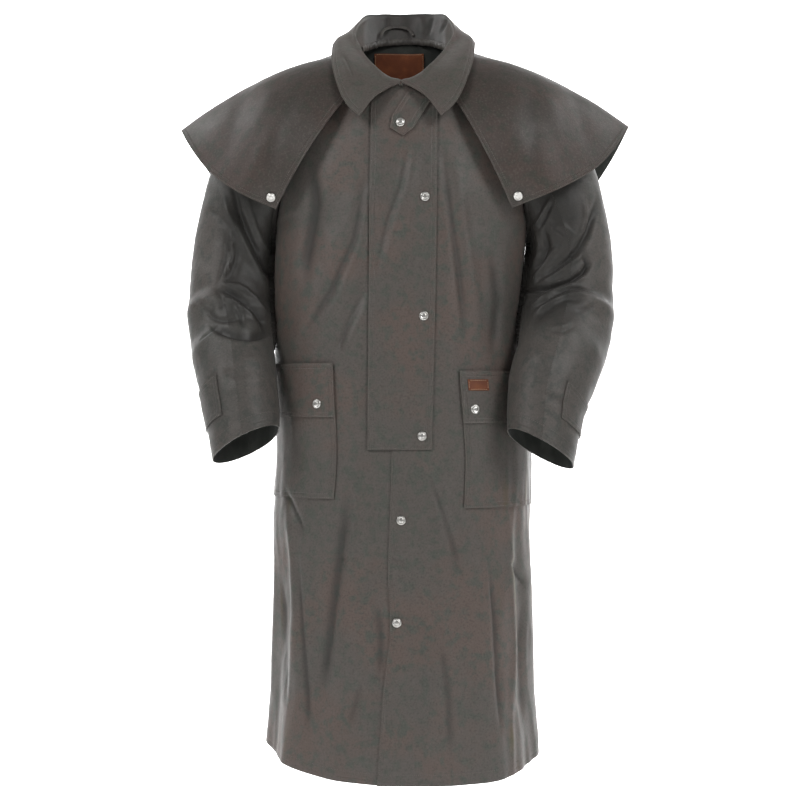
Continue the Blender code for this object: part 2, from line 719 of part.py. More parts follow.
def surface_point(base, u, v, out, turn_sign):
    step = 0.01
    u0, u1 = max(u - step, 0), min(u + step, 1)
    v0, v1 = max(v - step, 0), min(v + step, 1)
    normal = np.cross(base(u1, v) - base(u0, v), base(u, v1) - base(u, v0)) * turn_sign
    return base(u, v) + normal / np.linalg.norm(normal) * out


def cape_point(side, around, down, out):
    return surface_point(lambda u, v: cape_base(side, u, v), around, down, out, -side)


cape_columns = [k / CAPE_COLUMNS for k in range(CAPE_COLUMNS + 1)]
cape_rows = [k / CAPE_ROWS for k in range(CAPE_ROWS + 1)]


def make_cape(side, name):
    def place(column, row, depth):
        point = cape_point(side, column, row, -depth)
        if column == 1.0:
            point[0] = side * SEAM
        return point

    return wall(name, cape_columns, cape_rows, place, CLOTH, "cape_cloth", flip=side > 0)


def collar_profile(place):
    """Profile of the collar from its seam up the stand, over the roll and down to the free edge."""
    side = -1 if place < 0.5 else 1
    share = abs(place - 0.5) * 2
    side_share = COLLAR_SIDE_ROW / (len(COLLAR_TABLE) - 1)
    if share <= side_share:
        seam = neck_point(BACK_NECK_RISE + (1 - BACK_NECK_RISE) * share / side_share, True)
    else:
        seam = neck_point(1 - (1 - FRONT_NECK_RISE) * (share - side_share) / (1 - side_share), False)
    seam = seam + np.array((0, 0, GAP * (2 if share <= side_share else 1)))
    roll, edge = blend_row(COLLAR_TABLE, share)
    away = edge - seam
    away[2] = 0
    away = away / np.linalg.norm(away)
    up = np.array((0, 0, 1))
    stand = (seam + roll) / 2 - away * STAND_HOLLOW
    fall = roll + (edge - roll) * COLLAR_FALL["share"] + away * COLLAR_FALL["out"] + up * COLLAR_FALL["up"]
    before_roll = roll - (away + up) * ROLL_HALF
    after_roll = roll + (away - up) * ROLL_HALF
    points = [seam, stand, before_roll, roll, after_roll, fall, edge]
    points = [np.array((point[0] * side, point[1], point[2])) for point in points]
    return curve_by_length(points)


def collar_base(place, down):
    return collar_profile(place).at(down)


def collar_point(place, down, out):
    return surface_point(collar_base, place, down, out, 1)


def make_collar(name):
    side_share = COLLAR_SIDE_ROW / (len(COLLAR_TABLE) - 1)
    shares = [side_share * k / COLLAR_BACK_STEPS for k in range(COLLAR_BACK_STEPS)]
    shares += [side_share + (1 - side_share) * k / COLLAR_FRONT_STEPS for k in range(COLLAR_FRONT_STEPS + 1)]
    columns = [0.5 - share / 2 for share in reversed(shares)] + [0.5 + share / 2 for share in shares[1:]]

    def place(column, row, depth):
        return collar_point(column, row, -depth)

    return wall(name, columns, COLLAR_STEPS, place, COLLAR_CLOTH, "oilskin")


def make_storm_flap():
    top, low = STORM_FLAP[-1][0], STORM_FLAP[0][0]
    rows = between(low, UNDERARM_Z, LEVEL_LINES)
    upper = STORM_UPPER_ROWS
    rows += [UNDERARM_Z + (top - UNDERARM_Z) * (k + 1) / upper for k in range(upper)]
    columns = [k / STORM_ACROSS for k in range(STORM_ACROSS + 1)]

    def place(column, z, depth):
        sewn, free = storm_curve.at(z)
        return front_point(sewn + (free - sewn) * column, z, STORM_OUT - depth)

    return wall("storm_flap", columns, rows, place, HEAVY_CLOTH, "oilskin")


def make_throat_tab():
    start, end, half = THROAT_TAB["start"], THROAT_TAB["end"], THROAT_TAB["half"]
    along = np.array(end) - np.array(start)
    length = np.linalg.norm(along)
    along = along / length
    across = np.array((-along[1], along[0]))
    out = STORM_OUT + 2 * GAP + HEAVY_CLOTH

    def place(column, row, depth):
        narrow = 1 - THROAT_TAB["taper"] * smooth_step((column * length - length + half) / half)
        spot = np.array(start) + along * column * length + across * row * half * narrow
        return front_point(spot[0], spot[1], out - depth)

    steps = THROAT_TAB["steps"]
    columns = [k / steps for k in range(steps + 1)]
    return wall("throat_tab", columns, (-1, -0.33, 0.33, 1), place, HEAVY_CLOTH, "oilskin")


def make_pocket(side_name, q_inner, q_outer, flap_top, flap_low, bag_low):
    side = -1 if q_inner < 0 else 1
    lines = between(abs(q_inner), abs(q_outer), FRONT_LINES)

    def over(out):
        def place(column, level, depth):
            return body_facet_point(side * column, level, out - depth)
        return place

    bag_rows = between(bag_low, flap_top - POCKET_UNDER_FLAP, LEVEL_LINES)
    flap_rows = between(flap_low, flap_top, LEVEL_LINES)
    wall("pocket_" + side_name, lines, bag_rows, over(POCKET_OUT), CLOTH, "oilskin", flip=side < 0)
    wall("pocket_flap_" + side_name, lines, flap_rows, over(POCKET_FLAP_OUT), HEAVY_CLOTH, "oilskin", flip=side < 0)


def make_tag():
    q_low = q_at_x(TAG["x_low"], TAG["z_low"])
    q_high = q_at_x(TAG["x_high"], TAG["z_low"])
    columns = between(q_low, q_high, FRONT_LINES)
    rows = between(TAG["z_low"], TAG["z_high"], LEVEL_LINES)
    out = POCKET_FLAP_OUT + GAP + LIGHT_CLOTH

    def place(column, level, depth):
        return body_facet_point(column, level, out - depth)

    return wall("pocket_tag", columns, rows, place, LIGHT_CLOTH, "tag")


def make_cuff_strap(side, name):
    turns = between(CUFF_STRAP["turn_front"], CUFF_STRAP["turn_back"], sleeve_turns)
    rows = between(CUFF_STRAP["along_low"], CUFF_STRAP["along_high"], sleeve_rows)

    def place(turn, row, depth):
        return sleeve_facet_point(side, turn, row, GAP + HEAVY_CLOTH - depth)

    return wall(name, turns, rows, place, HEAVY_CLOTH, "sleeve_cloth", flip=side < 0)


def make_neck_lining():
    lines = BACK_LINES[:LINING["lines"]]
    columns = [2 - line for line in reversed(lines)] + [2 + line for line in lines[1:]]
    rows = [UNDERARM_Z + rise for rise in YOKE_RISES if LINING["low"] <= rise <= LINING["high"]]

    def place(column, row, depth):
        return body_point(column, row, -CLOTH - 2 * GAP - depth)

    return wall("neck_lining", columns, rows, place, LIGHT_CLOTH, "lining")


def make_label():
    lines = [2 - line for line in reversed(BACK_LINES)] + [2 + line for line in BACK_LINES[1:]]
    columns = between(LABEL["q_low"], LABEL["q_high"], lines)
    rows = [UNDERARM_Z + row for row in between(LABEL["rise_low"], LABEL["rise_high"], YOKE_RISES)]
    out = -CLOTH - LIGHT_CLOTH - 5 * GAP

    def place(column, row, depth):
        return body_point(column, row, out - depth)

    return wall("neck_label", columns, rows, place, LIGHT_CLOTH, "label")


def make_hanger_loop():
    """Cord loop on the inside of the collar stand: a flat arch on two short legs."""
    path = bpy.data.curves.new("hanger_loop", "CURVE")
    path.dimensions = "3D"
    path.bevel_depth = HANGER["radius"]
    path.bevel_resolution = 2
    path.use_fill_caps = True
    steps = 12
    spline = path.splines.new("POLY")
    spline.points.add(steps)
    for k in range(steps + 1):
        turn = math.pi * k / steps
        x = HANGER["x"] - HANGER["half"] * math.cos(turn)
        down = HANGER["foot"] + HANGER["rise"] * math.sin(turn) ** 0.8
        spot = collar_point(0.5 + x * HANGER["place_per_metre"], down, HANGER["radius"] + 3 * GAP)
        spline.points[k].co = (*spot, 1)
    path.materials.append(make_material("lining"))
    item = bpy.data.objects.new("hanger_loop", path)
    coat.objects.link(item)
    item.parent = holder
    return item


def make_snap(name, surface, column, row, out):
    """Turned snap cap lying on a surface, its axis square to it."""
    spot = surface(column, row, out + SNAP_CLEAR)
    inside = surface(column, row, out - CLOTH)
    maker = bmesh.new()
    verts = [maker.verts.new((radius, 0, height)) for radius, height in reversed(SNAP_PROFILE)]
    verts.append(maker.verts.new((0, 0, 0)))
    for a, b in zip(verts[:-1], verts[1:]):
        maker.edges.new((a, b))
    item = new_object(name, maker, "snap")
    screw = item.modifiers.new("turn", "SCREW")
    screw.axis = "Z"
    screw.angle = 2 * math.pi
    screw.steps = SNAP_SIDES
    screw.render_steps = SNAP_SIDES
    screw.use_merge_vertices = True
    screw.merge_threshold = 0.00001
    item.location = spot
    item.rotation_mode = "QUATERNION"
    item.rotation_quaternion = Vector((spot - inside).tolist()).to_track_quat("Z", "Y")
    return item


def make_snaps():
    for name, x, z, out in FRONT_SNAPS:
        make_snap(name, front_point, x, z, out)
    for name, x, z in POCKET_SNAPS:
        make_snap(name, body_facet_point, q_at_x(x, z), z, POCKET_FLAP_OUT)
    for side, side_name in ((1, "left"), (-1, "right")):
        def over_cape(column, row, out):
            surface = lambda u, v, w: cape_point(side, u, v, w)
            return facet_point(surface, cape_columns, cape_rows, column, row, out)

        def over_strap(column, row, out):
            return sleeve_facet_point(side, column, row, out)

        middle = (CUFF_STRAP["along_low"] + CUFF_STRAP["along_high"]) / 2
        make_snap("snap_cape_" + side_name, over_cape, CAPE_SNAP["around"], CAPE_SNAP["down"], CAPE_SNAP["out"])
        strap_turn = CUFF_STRAP["turn_back"] - CUFF_STRAP["snap_in"]
        make_snap("snap_cuff_" + side_name, over_strap, strap_turn, middle, GAP + HEAVY_CLOTH)


clear_scene()
coat = bpy.data.collections.new("duster_coat")
bpy.context.scene.collection.children.link(coat)
holder = bpy.data.objects.new("wearer_neck_base", None)
coat.objects.link(holder)

make_front(1, "front_left")
make_front(-1, "front_right")
make_back(1, "back_left")
make_back(-1, "back_right")
for side, side_name in ((1, "left"), (-1, "right")):
    make_sleeve_half(side, "sleeve_top_" + side_name, sleeve_turns)
    make_sleeve_half(side, "sleeve_under_" + side_name, under_turns)
    make_cape(side, "cape_" + side_name)
    make_cuff_strap(side, "cuff_strap_" + side_name)
make_collar("collar")
make_storm_flap()
make_throat_tab()
for row in POCKETS:
    make_pocket(*row)
make_tag()
make_neck_lining()
make_label()
make_hanger_loop()
make_snaps()
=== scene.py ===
import math

import bmesh
import bpy
import numpy as np
from mathutils import Matrix, Vector, noise
from mathutils.bvhtree import BVHTree
from mathutils.kdtree import KDTree


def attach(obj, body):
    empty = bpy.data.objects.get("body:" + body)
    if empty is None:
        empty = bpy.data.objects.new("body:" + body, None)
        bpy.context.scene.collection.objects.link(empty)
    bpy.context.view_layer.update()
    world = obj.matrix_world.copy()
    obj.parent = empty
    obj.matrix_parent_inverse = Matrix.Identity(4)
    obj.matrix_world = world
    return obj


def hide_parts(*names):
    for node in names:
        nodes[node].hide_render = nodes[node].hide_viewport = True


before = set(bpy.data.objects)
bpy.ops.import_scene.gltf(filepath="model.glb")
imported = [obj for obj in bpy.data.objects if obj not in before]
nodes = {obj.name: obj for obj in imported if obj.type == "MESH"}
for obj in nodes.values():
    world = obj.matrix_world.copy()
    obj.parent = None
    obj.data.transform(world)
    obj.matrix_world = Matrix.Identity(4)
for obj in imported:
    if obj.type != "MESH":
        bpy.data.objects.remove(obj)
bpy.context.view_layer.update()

bpy.ops.object.select_all(action="DESELECT")
print("the frame is in, with", len(nodes), "nodes")


class Wire:  # an output socket of a shader node, so that shader maths reads as plain sums
    def __init__(self, tree, socket=None):
        self.tree = tree
        self.socket = socket

    def node(self, kind, settings=None, sockets=None, output=0):
        made = self.tree.nodes.new(kind)
        for name, value in (settings or {}).items():
            setattr(made, name, value)
        for name, value in (sockets or {}).items():
            if isinstance(value, Wire):
                self.tree.links.new(value.socket, made.inputs[name])
            else:
                made.inputs[name].default_value = value
        return Wire(self.tree, made.outputs[output])

    def maths(self, operation, first, second=0.0):
        return self.node("ShaderNodeMath", {"operation": operation}, {0: first, 1: second})

    def __add__(self, other):
        return self.maths("ADD", self, other)

    __radd__ = __add__

    def __sub__(self, other):
        return self.maths("SUBTRACT", self, other)

    def __rsub__(self, other):
        return self.maths("SUBTRACT", other, self)

    def __mul__(self, other):
        return self.maths("MULTIPLY", self, other)

    __rmul__ = __mul__

    def __truediv__(self, other):
        return self.maths("DIVIDE", self, other)

    def __abs__(self):
        return self.maths("ABSOLUTE", self)

    def between(self, low, high):  # 0 below low, 1 above high
        ends = {"From Min": low, "From Max": high}
        return self.node("ShaderNodeMapRange", {"interpolation_type": "SMOOTHSTEP"}, {"Value": self, **ends})

    def bell(self, middle, width):  # 1 at the middle, 0 away from it
        away = (self - middle) / width
        return self.maths("EXPONENT", 0.0 - away * away)


def mixed(share, first, second):  # a colour between two others
    made = share.tree.nodes.new("ShaderNodeMix")
    made.data_type = "RGBA"
    share.tree.links.new(share.socket, made.inputs["Factor"])
    for socket, value in ((made.inputs[6], first), (made.inputs[7], second)):
        if isinstance(value, Wire):
            share.tree.links.new(value.socket, socket)
        else:
            socket.default_value = (*value, 1)
    return Wire(share.tree, made.outputs[2])


def newFinish(name, constants):
    material = bpy.data.materials.new(name)
    material.use_nodes = True
    shader = material.node_tree.nodes["Principled BSDF"]
    for socket, value in constants.items():
        shader.inputs[socket].default_value = value
    return material, shader, Wire(material.node_tree)


def feed(shader, start, **wires):  # colour, roughness and height of a finish
    if "colour" in wires:
        start.tree.links.new(wires["colour"].socket, shader.inputs["Base Color"])
    if "roughness" in wires:
        start.tree.links.new(wires["roughness"].socket, shader.inputs["Roughness"])
    if "height" in wires:
        depth = wires.get("depth", 0.001)
        sockets = {"Strength": wires.get("strength", 1.0), "Distance": depth, "Height": wires["height"]}
        bump = start.node("ShaderNodeBump", None, sockets)
        start.tree.links.new(bump.socket, shader.inputs["Normal"])


def cloud(start, place, scale, detail=2.0, stretch=None, kind="FBM", offset=(0, 0, 0)):
    if stretch or any(offset):
        sockets = {"Vector": place, "Scale": stretch or (1, 1, 1), "Location": offset}
        place = start.node("ShaderNodeMapping", None, sockets)
    settings = {"noise_type": kind, "normalize": True}
    return start.node("ShaderNodeTexNoise", settings, {"Vector": place, "Scale": scale, "Detail": detail})


oilskinLook = {
    "body": {"base": (0.088, 0.078, 0.070), "warm": (0.104, 0.078, 0.067), "cool": (0.070, 0.073, 0.062)},
    # the cape's base is the body's oilskin made darker, painted shade against the lamps it faces; the sleeve's
    # is darker, glossier cloth, partly painted shade for the dark studio it reflects
    "cape": {"base": (0.052, 0.042, 0.036), "warm": (0.062, 0.043, 0.036), "cool": (0.043, 0.041, 0.032)},
    "sleeve": {"base": (0.066, 0.062, 0.056), "warm": (0.076, 0.067, 0.060), "cool": (0.052, 0.053, 0.047)},
    "collar": {"base": (0.088, 0.077, 0.067), "warm": (0.100, 0.078, 0.071), "cool": (0.074, 0.075, 0.062)},
    # painted sheen: the olive bronze that the skirt's sides take on, standing in for the waxed cloth's
    # reflection
    "sheenBronze": (0.098, 0.080, 0.036),
    "worn": (0.135, 0.122, 0.106),
    # deep: the dark of the flecks, and the painted shade of the creases, the upper inner sleeves and the inside
    # of the stand
    "deep": (0.022, 0.021, 0.019),
    "roughness": (0.40, 0.60),
    "stitchLines": ((0.0024, 0.0007), (0.0085, 0.0007)),  # distance from the edge, half width
    "relief": {"wrinkle": 0.55, "streaks": 0.9, "mottle": 0.5, "crumple": 0.22, "flecks": 0.16, "grain": 0.08},
    "sewn": {"stitches": 0.35, "pucker": 0.45},
    "depth": 0.0013,
    "surface": {"Metallic": 0.0, "Sheen Weight": 0.05, "Sheen Roughness": 0.5, "Specular IOR Level": 0.42},
    # the crease, upper inner sleeve and inside-stand weights here are painted shade, the stand's partly its
    # darker cloth; the flecks' weight is the cloth's own tone
    "darker": {"fold": 0.75, "innerSleeveShade": 0.76, "insideCollar": 0.78, "flecks": 0.30},
    "lighter": {"flecks": 0.24, "sheenBronze": 0.85, "edge": 0.35},
    "places": {  # where a tone sets in, from and to in metres: outwards, down, and back from the middle
        "skirtOut": (0.135, 0.195), "skirtDown": (0.62, 0.74), "innerOut": (0.322, 0.280),
        "innerDown": (0.50, 0.45), "standOut": (0.078, 0.062), "standBack": (0.020, 0.055),
        "standEnd": (0.096, 0.086),
    },
}
oilskinClouds = {
    "patches": {"scale": 9.0, "detail": 3.0},
    "mottle": {"scale": 62.0, "detail": 5.0, "offset": (3, 1, 2)},
    "flecks": {"scale": 330.0, "detail": 3.0, "offset": (5, 2, 7)},
    "grain": {"scale": 1100.0, "detail": 1.0},
    "wrinkle": {"scale": 21.0, "detail": 4.0, "kind": "RIDGED_MULTIFRACTAL"},
    "crumple": {"scale": 75.0, "detail": 3.0, "kind": "RIDGED_MULTIFRACTAL", "offset": (2, 6, 4)},
    "streaks": {"scale": 46.0, "detail": 3.0, "kind": "RIDGED_MULTIFRACTAL", "stretch": (1, 1, 0.16)},
}


def makeOilskin(name):
    look = oilskinLook[name]
    dark, light, at = oilskinLook["darker"], oilskinLook["lighter"], oilskinLook["places"]
    material, shader, start = newFinish("oilskin_" + name, oilskinLook["surface"])
    place = start.node("ShaderNodeTexCoord", output="Object")
    apart = start.node("ShaderNodeSeparateXYZ", None, {"Vector": place})
    across = Wire(start.tree, apart.socket.node.outputs[0])
    deep = Wire(start.tree, apart.socket.node.outputs[1])
    up = Wire(start.tree, apart.socket.node.outputs[2])
    edge = start.node("ShaderNodeAttribute", {"attribute_name": "edge"}, output="Fac")
    fold = start.node("ShaderNodeAttribute", {"attribute_name": "fold"}, output="Fac")
    clouds = {key: cloud(start, place, **values) for key, values in oilskinClouds.items()}
    patches, mottle, flecks, grain, wrinkle, crumple, streaks = clouds.values()
    sides = abs(across).between(*at["skirtOut"]) * (0.0 - up).between(*at["skirtDown"])
    colour = mixed(patches.between(0.42, 0.62), look["base"], look["warm"])
    colour = mixed(mottle.between(0.46, 0.68), colour, look["cool"])
    colour = mixed(flecks.between(0.50, 0.72) * light["flecks"], colour, oilskinLook["worn"])
    colour = mixed(flecks.between(0.50, 0.28) * dark["flecks"], colour, oilskinLook["deep"])
    # painted sheen: the skirt's sides streaked towards olive bronze, where the wax reflects the lamps
    colour = mixed(sides * streaks.between(0.1, 0.7) * light["sheenBronze"], colour, oilskinLook["sheenBronze"])
    if name == "sleeve":
        # painted shade and dark reflection: the upper inner sleeves darker, where the cape shades them and the
        # glossy cloth reflects a dark studio
        inner = abs(across).between(*at["innerOut"]) * (0.0 - up).between(*at["innerDown"])
        colour = mixed(inner * dark["innerSleeveShade"], colour, oilskinLook["deep"])
    if name == "collar":
        # the inside of the back stand darker: partly its darker cloth, partly painted shade
        inside = deep.between(*at["standBack"]) * deep.between(*at["standEnd"])
        inside = inside * abs(across).between(*at["standOut"])
        colour = mixed(inside * dark["insideCollar"], colour, oilskinLook["deep"])
    worn = (1.0 - edge.between(0.0008, 0.0030)) * mottle.between(0.35, 0.65)
    colour = mixed(worn * light["edge"], colour, oilskinLook["worn"])
    # painted shade: the cloth darkened down in the creases, by their depth
    colour = mixed(fold.between(0.0, 1.0) * dark["fold"], colour, oilskinLook["deep"])
    low, high = oilskinLook["roughness"]
    roughness = low + patches * (high - low) + (mottle - 0.5) * 0.16 - sides * 0.06
    lines = sum(edge.bell(middle, width) for middle, width in oilskinLook["stitchLines"])
    pucker = edge.between(0.016, 0.002) * cloud(start, place, 150.0, 1.0)
    rise, sewn = oilskinLook["relief"], oilskinLook["sewn"]
    height = wrinkle * rise["wrinkle"] * (1.0 - sides) + streaks * sides * rise["streaks"]
    for key in ("mottle", "crumple", "flecks", "grain"):
        height = height + clouds[key] * rise[key]
    height = height - lines * sewn["stitches"] + pucker * sewn["pucker"]
    depth = oilskinLook["depth"]
    feed(shader, start, colour=colour, roughness=roughness, height=height, depth=depth, strength=0.75)
    return material


liningLook = {"base": (0.026, 0.029, 0.025), "light": (0.044, 0.047, 0.041), "threads": 1500.0}


def makeLining():
    material, shader, start = newFinish("lining_cloth", {"Metallic": 0.0, "Sheen Weight": 0.10})
    place = start.node("ShaderNodeTexCoord", output="Object")
    weave = cloud(start, place, liningLook["threads"], 1.0)
    folds = cloud(start, place, 45.0, 3.0, stretch=(1, 1, 0.35))
    colour = mixed(folds.between(0.35, 0.7), liningLook["base"], liningLook["light"])
    roughness = 0.72 + weave * 0.15
    height = folds + weave * 0.15
    feed(shader, start, colour=colour, roughness=roughness, height=height, depth=0.0012, strength=0.7)
    return material


labelLook = {"base": (0.150, 0.038, 0.011), "dark": (0.080, 0.020, 0.008), "light": (0.215, 0.062, 0.018)}


def makeLeather(name, shade):
    material, shader, start = newFinish(name, {"Metallic": 0.0, "Coat Weight": 0.08, "Coat Roughness": 0.4})
    place = start.node("ShaderNodeTexCoord", output="Object")
    patches = cloud(start, place, 55.0, 4.0)
    grain = cloud(start, place, 900.0, 3.0, kind="RIDGED_MULTIFRACTAL")
    low, high, lift = (tuple(c * shade for c in labelLook[key]) for key in ("dark", "light", "base"))
    colour = mixed(patches.between(0.38, 0.7), lift, high)
    colour = mixed(grain.between(0.2, 0.9) * 0.5, colour, low)
    roughness = 0.5 + patches * 0.2
    height = patches * 0.6 + grain * 0.4
    feed(shader, start, colour=colour, roughness=roughness, height=height, depth=0.0004, strength=0.6)
    return material


def makeThread(name, base, light):
    material, shader, start = newFinish(name, {"Metallic": 0.0, "Sheen Weight": 0.15})
    place = start.node("ShaderNodeTexCoord", output="Object")
    fibres = cloud(start, place, 1800.0, 1.0)
    colour = mixed(fibres, base, light)
    feed(shader, start, colour=colour, roughness=0.6 + fibres * 0.2, height=fibres, depth=0.0001)
    return material


nickelLook = {"bright": (0.80, 0.79, 0.76), "dull": (0.62, 0.60, 0.56)}


def makeNickel():
    material, shader, start = newFinish("snap_nickel", {"Metallic": 1.0})
    place = start.node("ShaderNodeTexCoord", output="Object")
    smear = cloud(start, place, 260.0, 3.0)
    scratch = cloud(start, place, 900.0, 2.0, stretch=(1, 1, 0.1))
    colour = mixed(smear.between(0.35, 0.75), nickelLook["bright"], nickelLook["dull"])
    roughness = 0.20 + smear * 0.16 + scratch * 0.05
    feed(shader, start, colour=colour, roughness=roughness, height=scratch, depth=0.00005)
    return material


finishes = {
    "body": makeOilskin("body"),
    "cape": makeOilskin("cape"),
    "sleeve": makeOilskin("sleeve"),
    "collar": makeOilskin("collar"),
    "lining": makeLining(),
    "label": makeLeather("label_leather", 1.0),
    "tag": makeLeather("tag_leather", 0.8),
    "thread": makeThread("brown_thread", (0.070, 0.060, 0.050), (0.125, 0.108, 0.090)),
    "tanThread": makeThread("tan_thread", (0.52, 0.34, 0.19), (0.72, 0.52, 0.32)),
    "nickel": makeNickel(),
}
print("finishes are made:", len(finishes))

# Creases seen square on, in millimetres: half width, height outwards, x and z of the points they run
# through, and for some how many times wider they are on the left of their run
bodyCreases = (
    (6.1, -3, ((12, -190), (-1, -254), (-21, -306), (-40, -390))),
    (9, 2.7, ((26, -195), (14, -262), (-6, -318), (-26, -400))),
    (5.7, -4.1, ((-59, -248), (-75, -338), (-114, -422), (-163, -497))),
    (9.8, 3.8, ((-46, -262), (-60, -346), (-98, -436), (-144, -510))),
    (4.5, -3.2, ((-59, -426), (-88, -480), (-104, -519))),
    (7.4, 2.7, ((-48, -440), (-76, -492), (-92, -526))),
    (7, -4.1, ((70, -206), (83, -306), (96, -390), (106, -503))),
    (10.7, 3.5, ((88, -215), (102, -310), (116, -400), (126, -500))),
    (10.7, -5.4, ((-146, -219), (-140, -280), (-152, -345), (-160, -400))),
    (9, -3.4, ((150, -360), (158, -440), (150, -520))),
    (9, -4.6, ((-83, -747), (-99, -860), (-115, -990), (-124, -1062))),
    (11.5, 3.8, ((-64, -750), (-80, -870), (-96, -1000), (-104, -1090))),
    (4.9, -3.5, ((47, -718), (66, -770), (87, -828), (96, -872))),
    (9, 3, ((60, -716), (80, -776), (102, -836), (112, -900))),
    (4.1, -1.9, ((-99, -858), (-84, -852), (-70, -856))),
    (3.7, -1.8, ((-18, -855), (0, -857), (11, -862))),
    (3.7, -1.9, ((83, -866), (95, -872), (104, -880))),
    (7.4, -3.5, ((-36, -925), (-30, -985), (-32, -1040))),
    (5.7, -3, ((-62, -1052), (-72, -1090), (-80, -1115))),
    (6.6, 3.2, ((40, -960), (52, -1060), (56, -1160))),
    (7.4, -3.2, ((66, -980), (78, -1070), (82, -1165))),
    (4.5, -4.1, ((-190, -748), (-176, -780), (-158, -812))),
    (6.6, 4.1, ((-186, -780), (-178, -860), (-172, -950), (-176, -1050))),
    (4.9, -4.1, ((-168, -860), (-160, -960), (-150, -1070), (-148, -1130))),
    (4.9, -3.8, ((-196, -900), (-190, -1000), (-188, -1090))),
    (5.7, 4.1, ((176, -790), (180, -900), (184, -1010), (182, -1100))),
    (4.5, -4.1, ((144, -868), (152, -948), (156, -1040), (162, -1130))),
    (4.5, -4.1, ((176, -860), (190, -884), (204, -905))),
    (5.7, -3.5, ((196, -940), (192, -1040), (196, -1120))),
)
sleeveCreases = (
    (6, 5, ((-302, -249), (-290, -289), (-272, -325), (-254, -361), (-236, -395), (-220, -426))),
    (5.8, -8.5, ((-281, -246), (-272, -287), (-258, -321), (-243, -352), (-229, -379), (-214, -404))),
    (3.5, 3, ((-256, -265), (-245, -310), (-231, -345), (-216, -370))),
    (3.2, 5, ((-288, -314), (-282, -336), (-282, -361), (-288, -382), (-297, -400))),
    (2.4, -4, ((-294, -325), (-292, -357), (-298, -384), (-305, -408))),
    (6, -4, ((-275, -343), (-276, -372), (-283, -393), (-295, -406))),
    (2.8, 4.5, ((-295, -409), (-272, -410), (-258, -417), (-243, -431), (-229, -451), (-213, -476))),
    (6, -8.5, ((-304, -415), (-281, -422), (-263, -435), (-243, -451), (-229, -469), (-220, -489))),
    (4, 4, ((-290, -430), (-268, -438), (-250, -453), (-236, -471))),
    (2.4, -3.2, ((-304, -420), (-296, -431), (-293, -442), (-296, -452))),
    (3.4, -4.5, ((-272, -442), (-263, -460), (-259, -478))),
    (4.2, -4, ((-322, -456), (-304, -467), (-285, -470), (-265, -467))),
    (3.2, -9, ((-310, -481), (-297, -489), (-283, -494), (-263, -499), (-243, -500), (-227, -497),
        (-213, -490)), 4),
    (8, -3, ((-344, -429), (-326, -447), (-308, -459))),
    (2.2, -2, ((-330, -503), (-310, -487), (-303, -474))),
    (4.2, -2.8, ((-328, -281), (-308, -291), (-293, -310))),
    (6, -2, ((-286, -552), (-262, -560), (-246, -556))),
    (2.8, 4, ((242, -270), (229, -295), (219, -314))),
    (2.4, -4, ((246, -277), (237, -299), (228, -314))),
    (2.2, -3.5, ((241, -302), (250, -316), (263, -326), (274, -335))),
    (2.2, 2.8, ((262, -308), (273, -318), (284, -328))),
    (4.5, 3.5, ((302, -265), (304, -302), (296, -331))),
    (6.2, -8.5, ((325, -262), (318, -294), (306, -323), (292, -348), (272, -368), (251, -385),
        (229, -403))),
    (2.8, 5.5, ((258, -345), (246, -360), (235, -377), (223, -392), (218, -405))),
    (2.4, 3, ((287, -346), (272, -362), (255, -378), (235, -394))),
    (4.8, -6.5, ((235, -319), (240, -346), (232, -368), (216, -392))),
    (2.4, 3, ((221, -319), (226, -339), (224, -360), (216, -378))),
    (4.4, 4.5, ((296, -362), (279, -373), (258, -387), (240, -398), (225, -409))),
    (4.8, -10, ((299, -362), (307, -376), (299, -390), (282, -402), (262, -409), (243, -414), (221, -418),
        (201, -419))),
    (3.2, 4.8, ((308, -385), (294, -400), (273, -410), (253, -418), (232, -430), (209, -448))),
    (2.4, -4.2, ((311, -422), (290, -416), (272, -418), (253, -427), (235, -438), (221, -449))),
    (2.6, 3.2, ((306, -428), (289, -425), (268, -428), (248, -436), (228, -448), (216, -461))),
    (7.5, -4.5, ((296, -435), (268, -435), (246, -445), (228, -460), (216, -478))),
    (2.8, -2.4, ((243, -489), (260, -491), (276, -483))),
    (4, 2.2, ((245, -483), (260, -482), (275, -476))),
    (4, -2.2, ((282, -456), (306, -451), (316, -445))),
    (6, -2.2, ((228, -590), (248, -600), (270, -606))),
)
backCreases = (
    (12, -5, ((-120, -360), (-132, -480), (-128, -600), (-136, -700))),
    (14, 4.5, ((-85, -400), (-92, -520), (-88, -680), (-96, -820))),
    (11, -4.5, ((-42, -460), (-50, -580), (-40, -720))),
    (13, 4.5, ((90, -380), (98, -500), (86, -640), (94, -780))),
    (11, -4.8, ((128, -370), (138, -500), (126, -650))),
    (10, -4, ((36, -480), (46, -600), (40, -760))),
    (7, -3.4, ((-150, -520), (-104, -536), (-60, -530))),
    (7.5, 3.2, ((150, -505), (108, -524), (56, -520))),
    (15, 4.5, ((-120, -820), (-128, -960), (-140, -1120))),
    (14, -4.8, ((66, -840), (72, -980), (66, -1140))),
)
collarCreases = (
    (4, -2.2, ((-34, 71), (-36, 52), (-40, 36))),
    (7, 2, ((24, 70), (30, 52), (28, 36))),
    (3.6, -2.6, ((47, 68), (44, 52), (36, 34))),
    (3, -3, ((74, 64), (70, 50), (62, 36))),
    (2.4, -1.6, ((-98, -28), (-90, -41), (-83, -58), (-76, -75))),
    (3.4, 1.2, ((-102, -34), (-95, -48), (-88, -64))),
    (4, -1, ((-85, -85), (-70, -87), (-57, -86))),
)
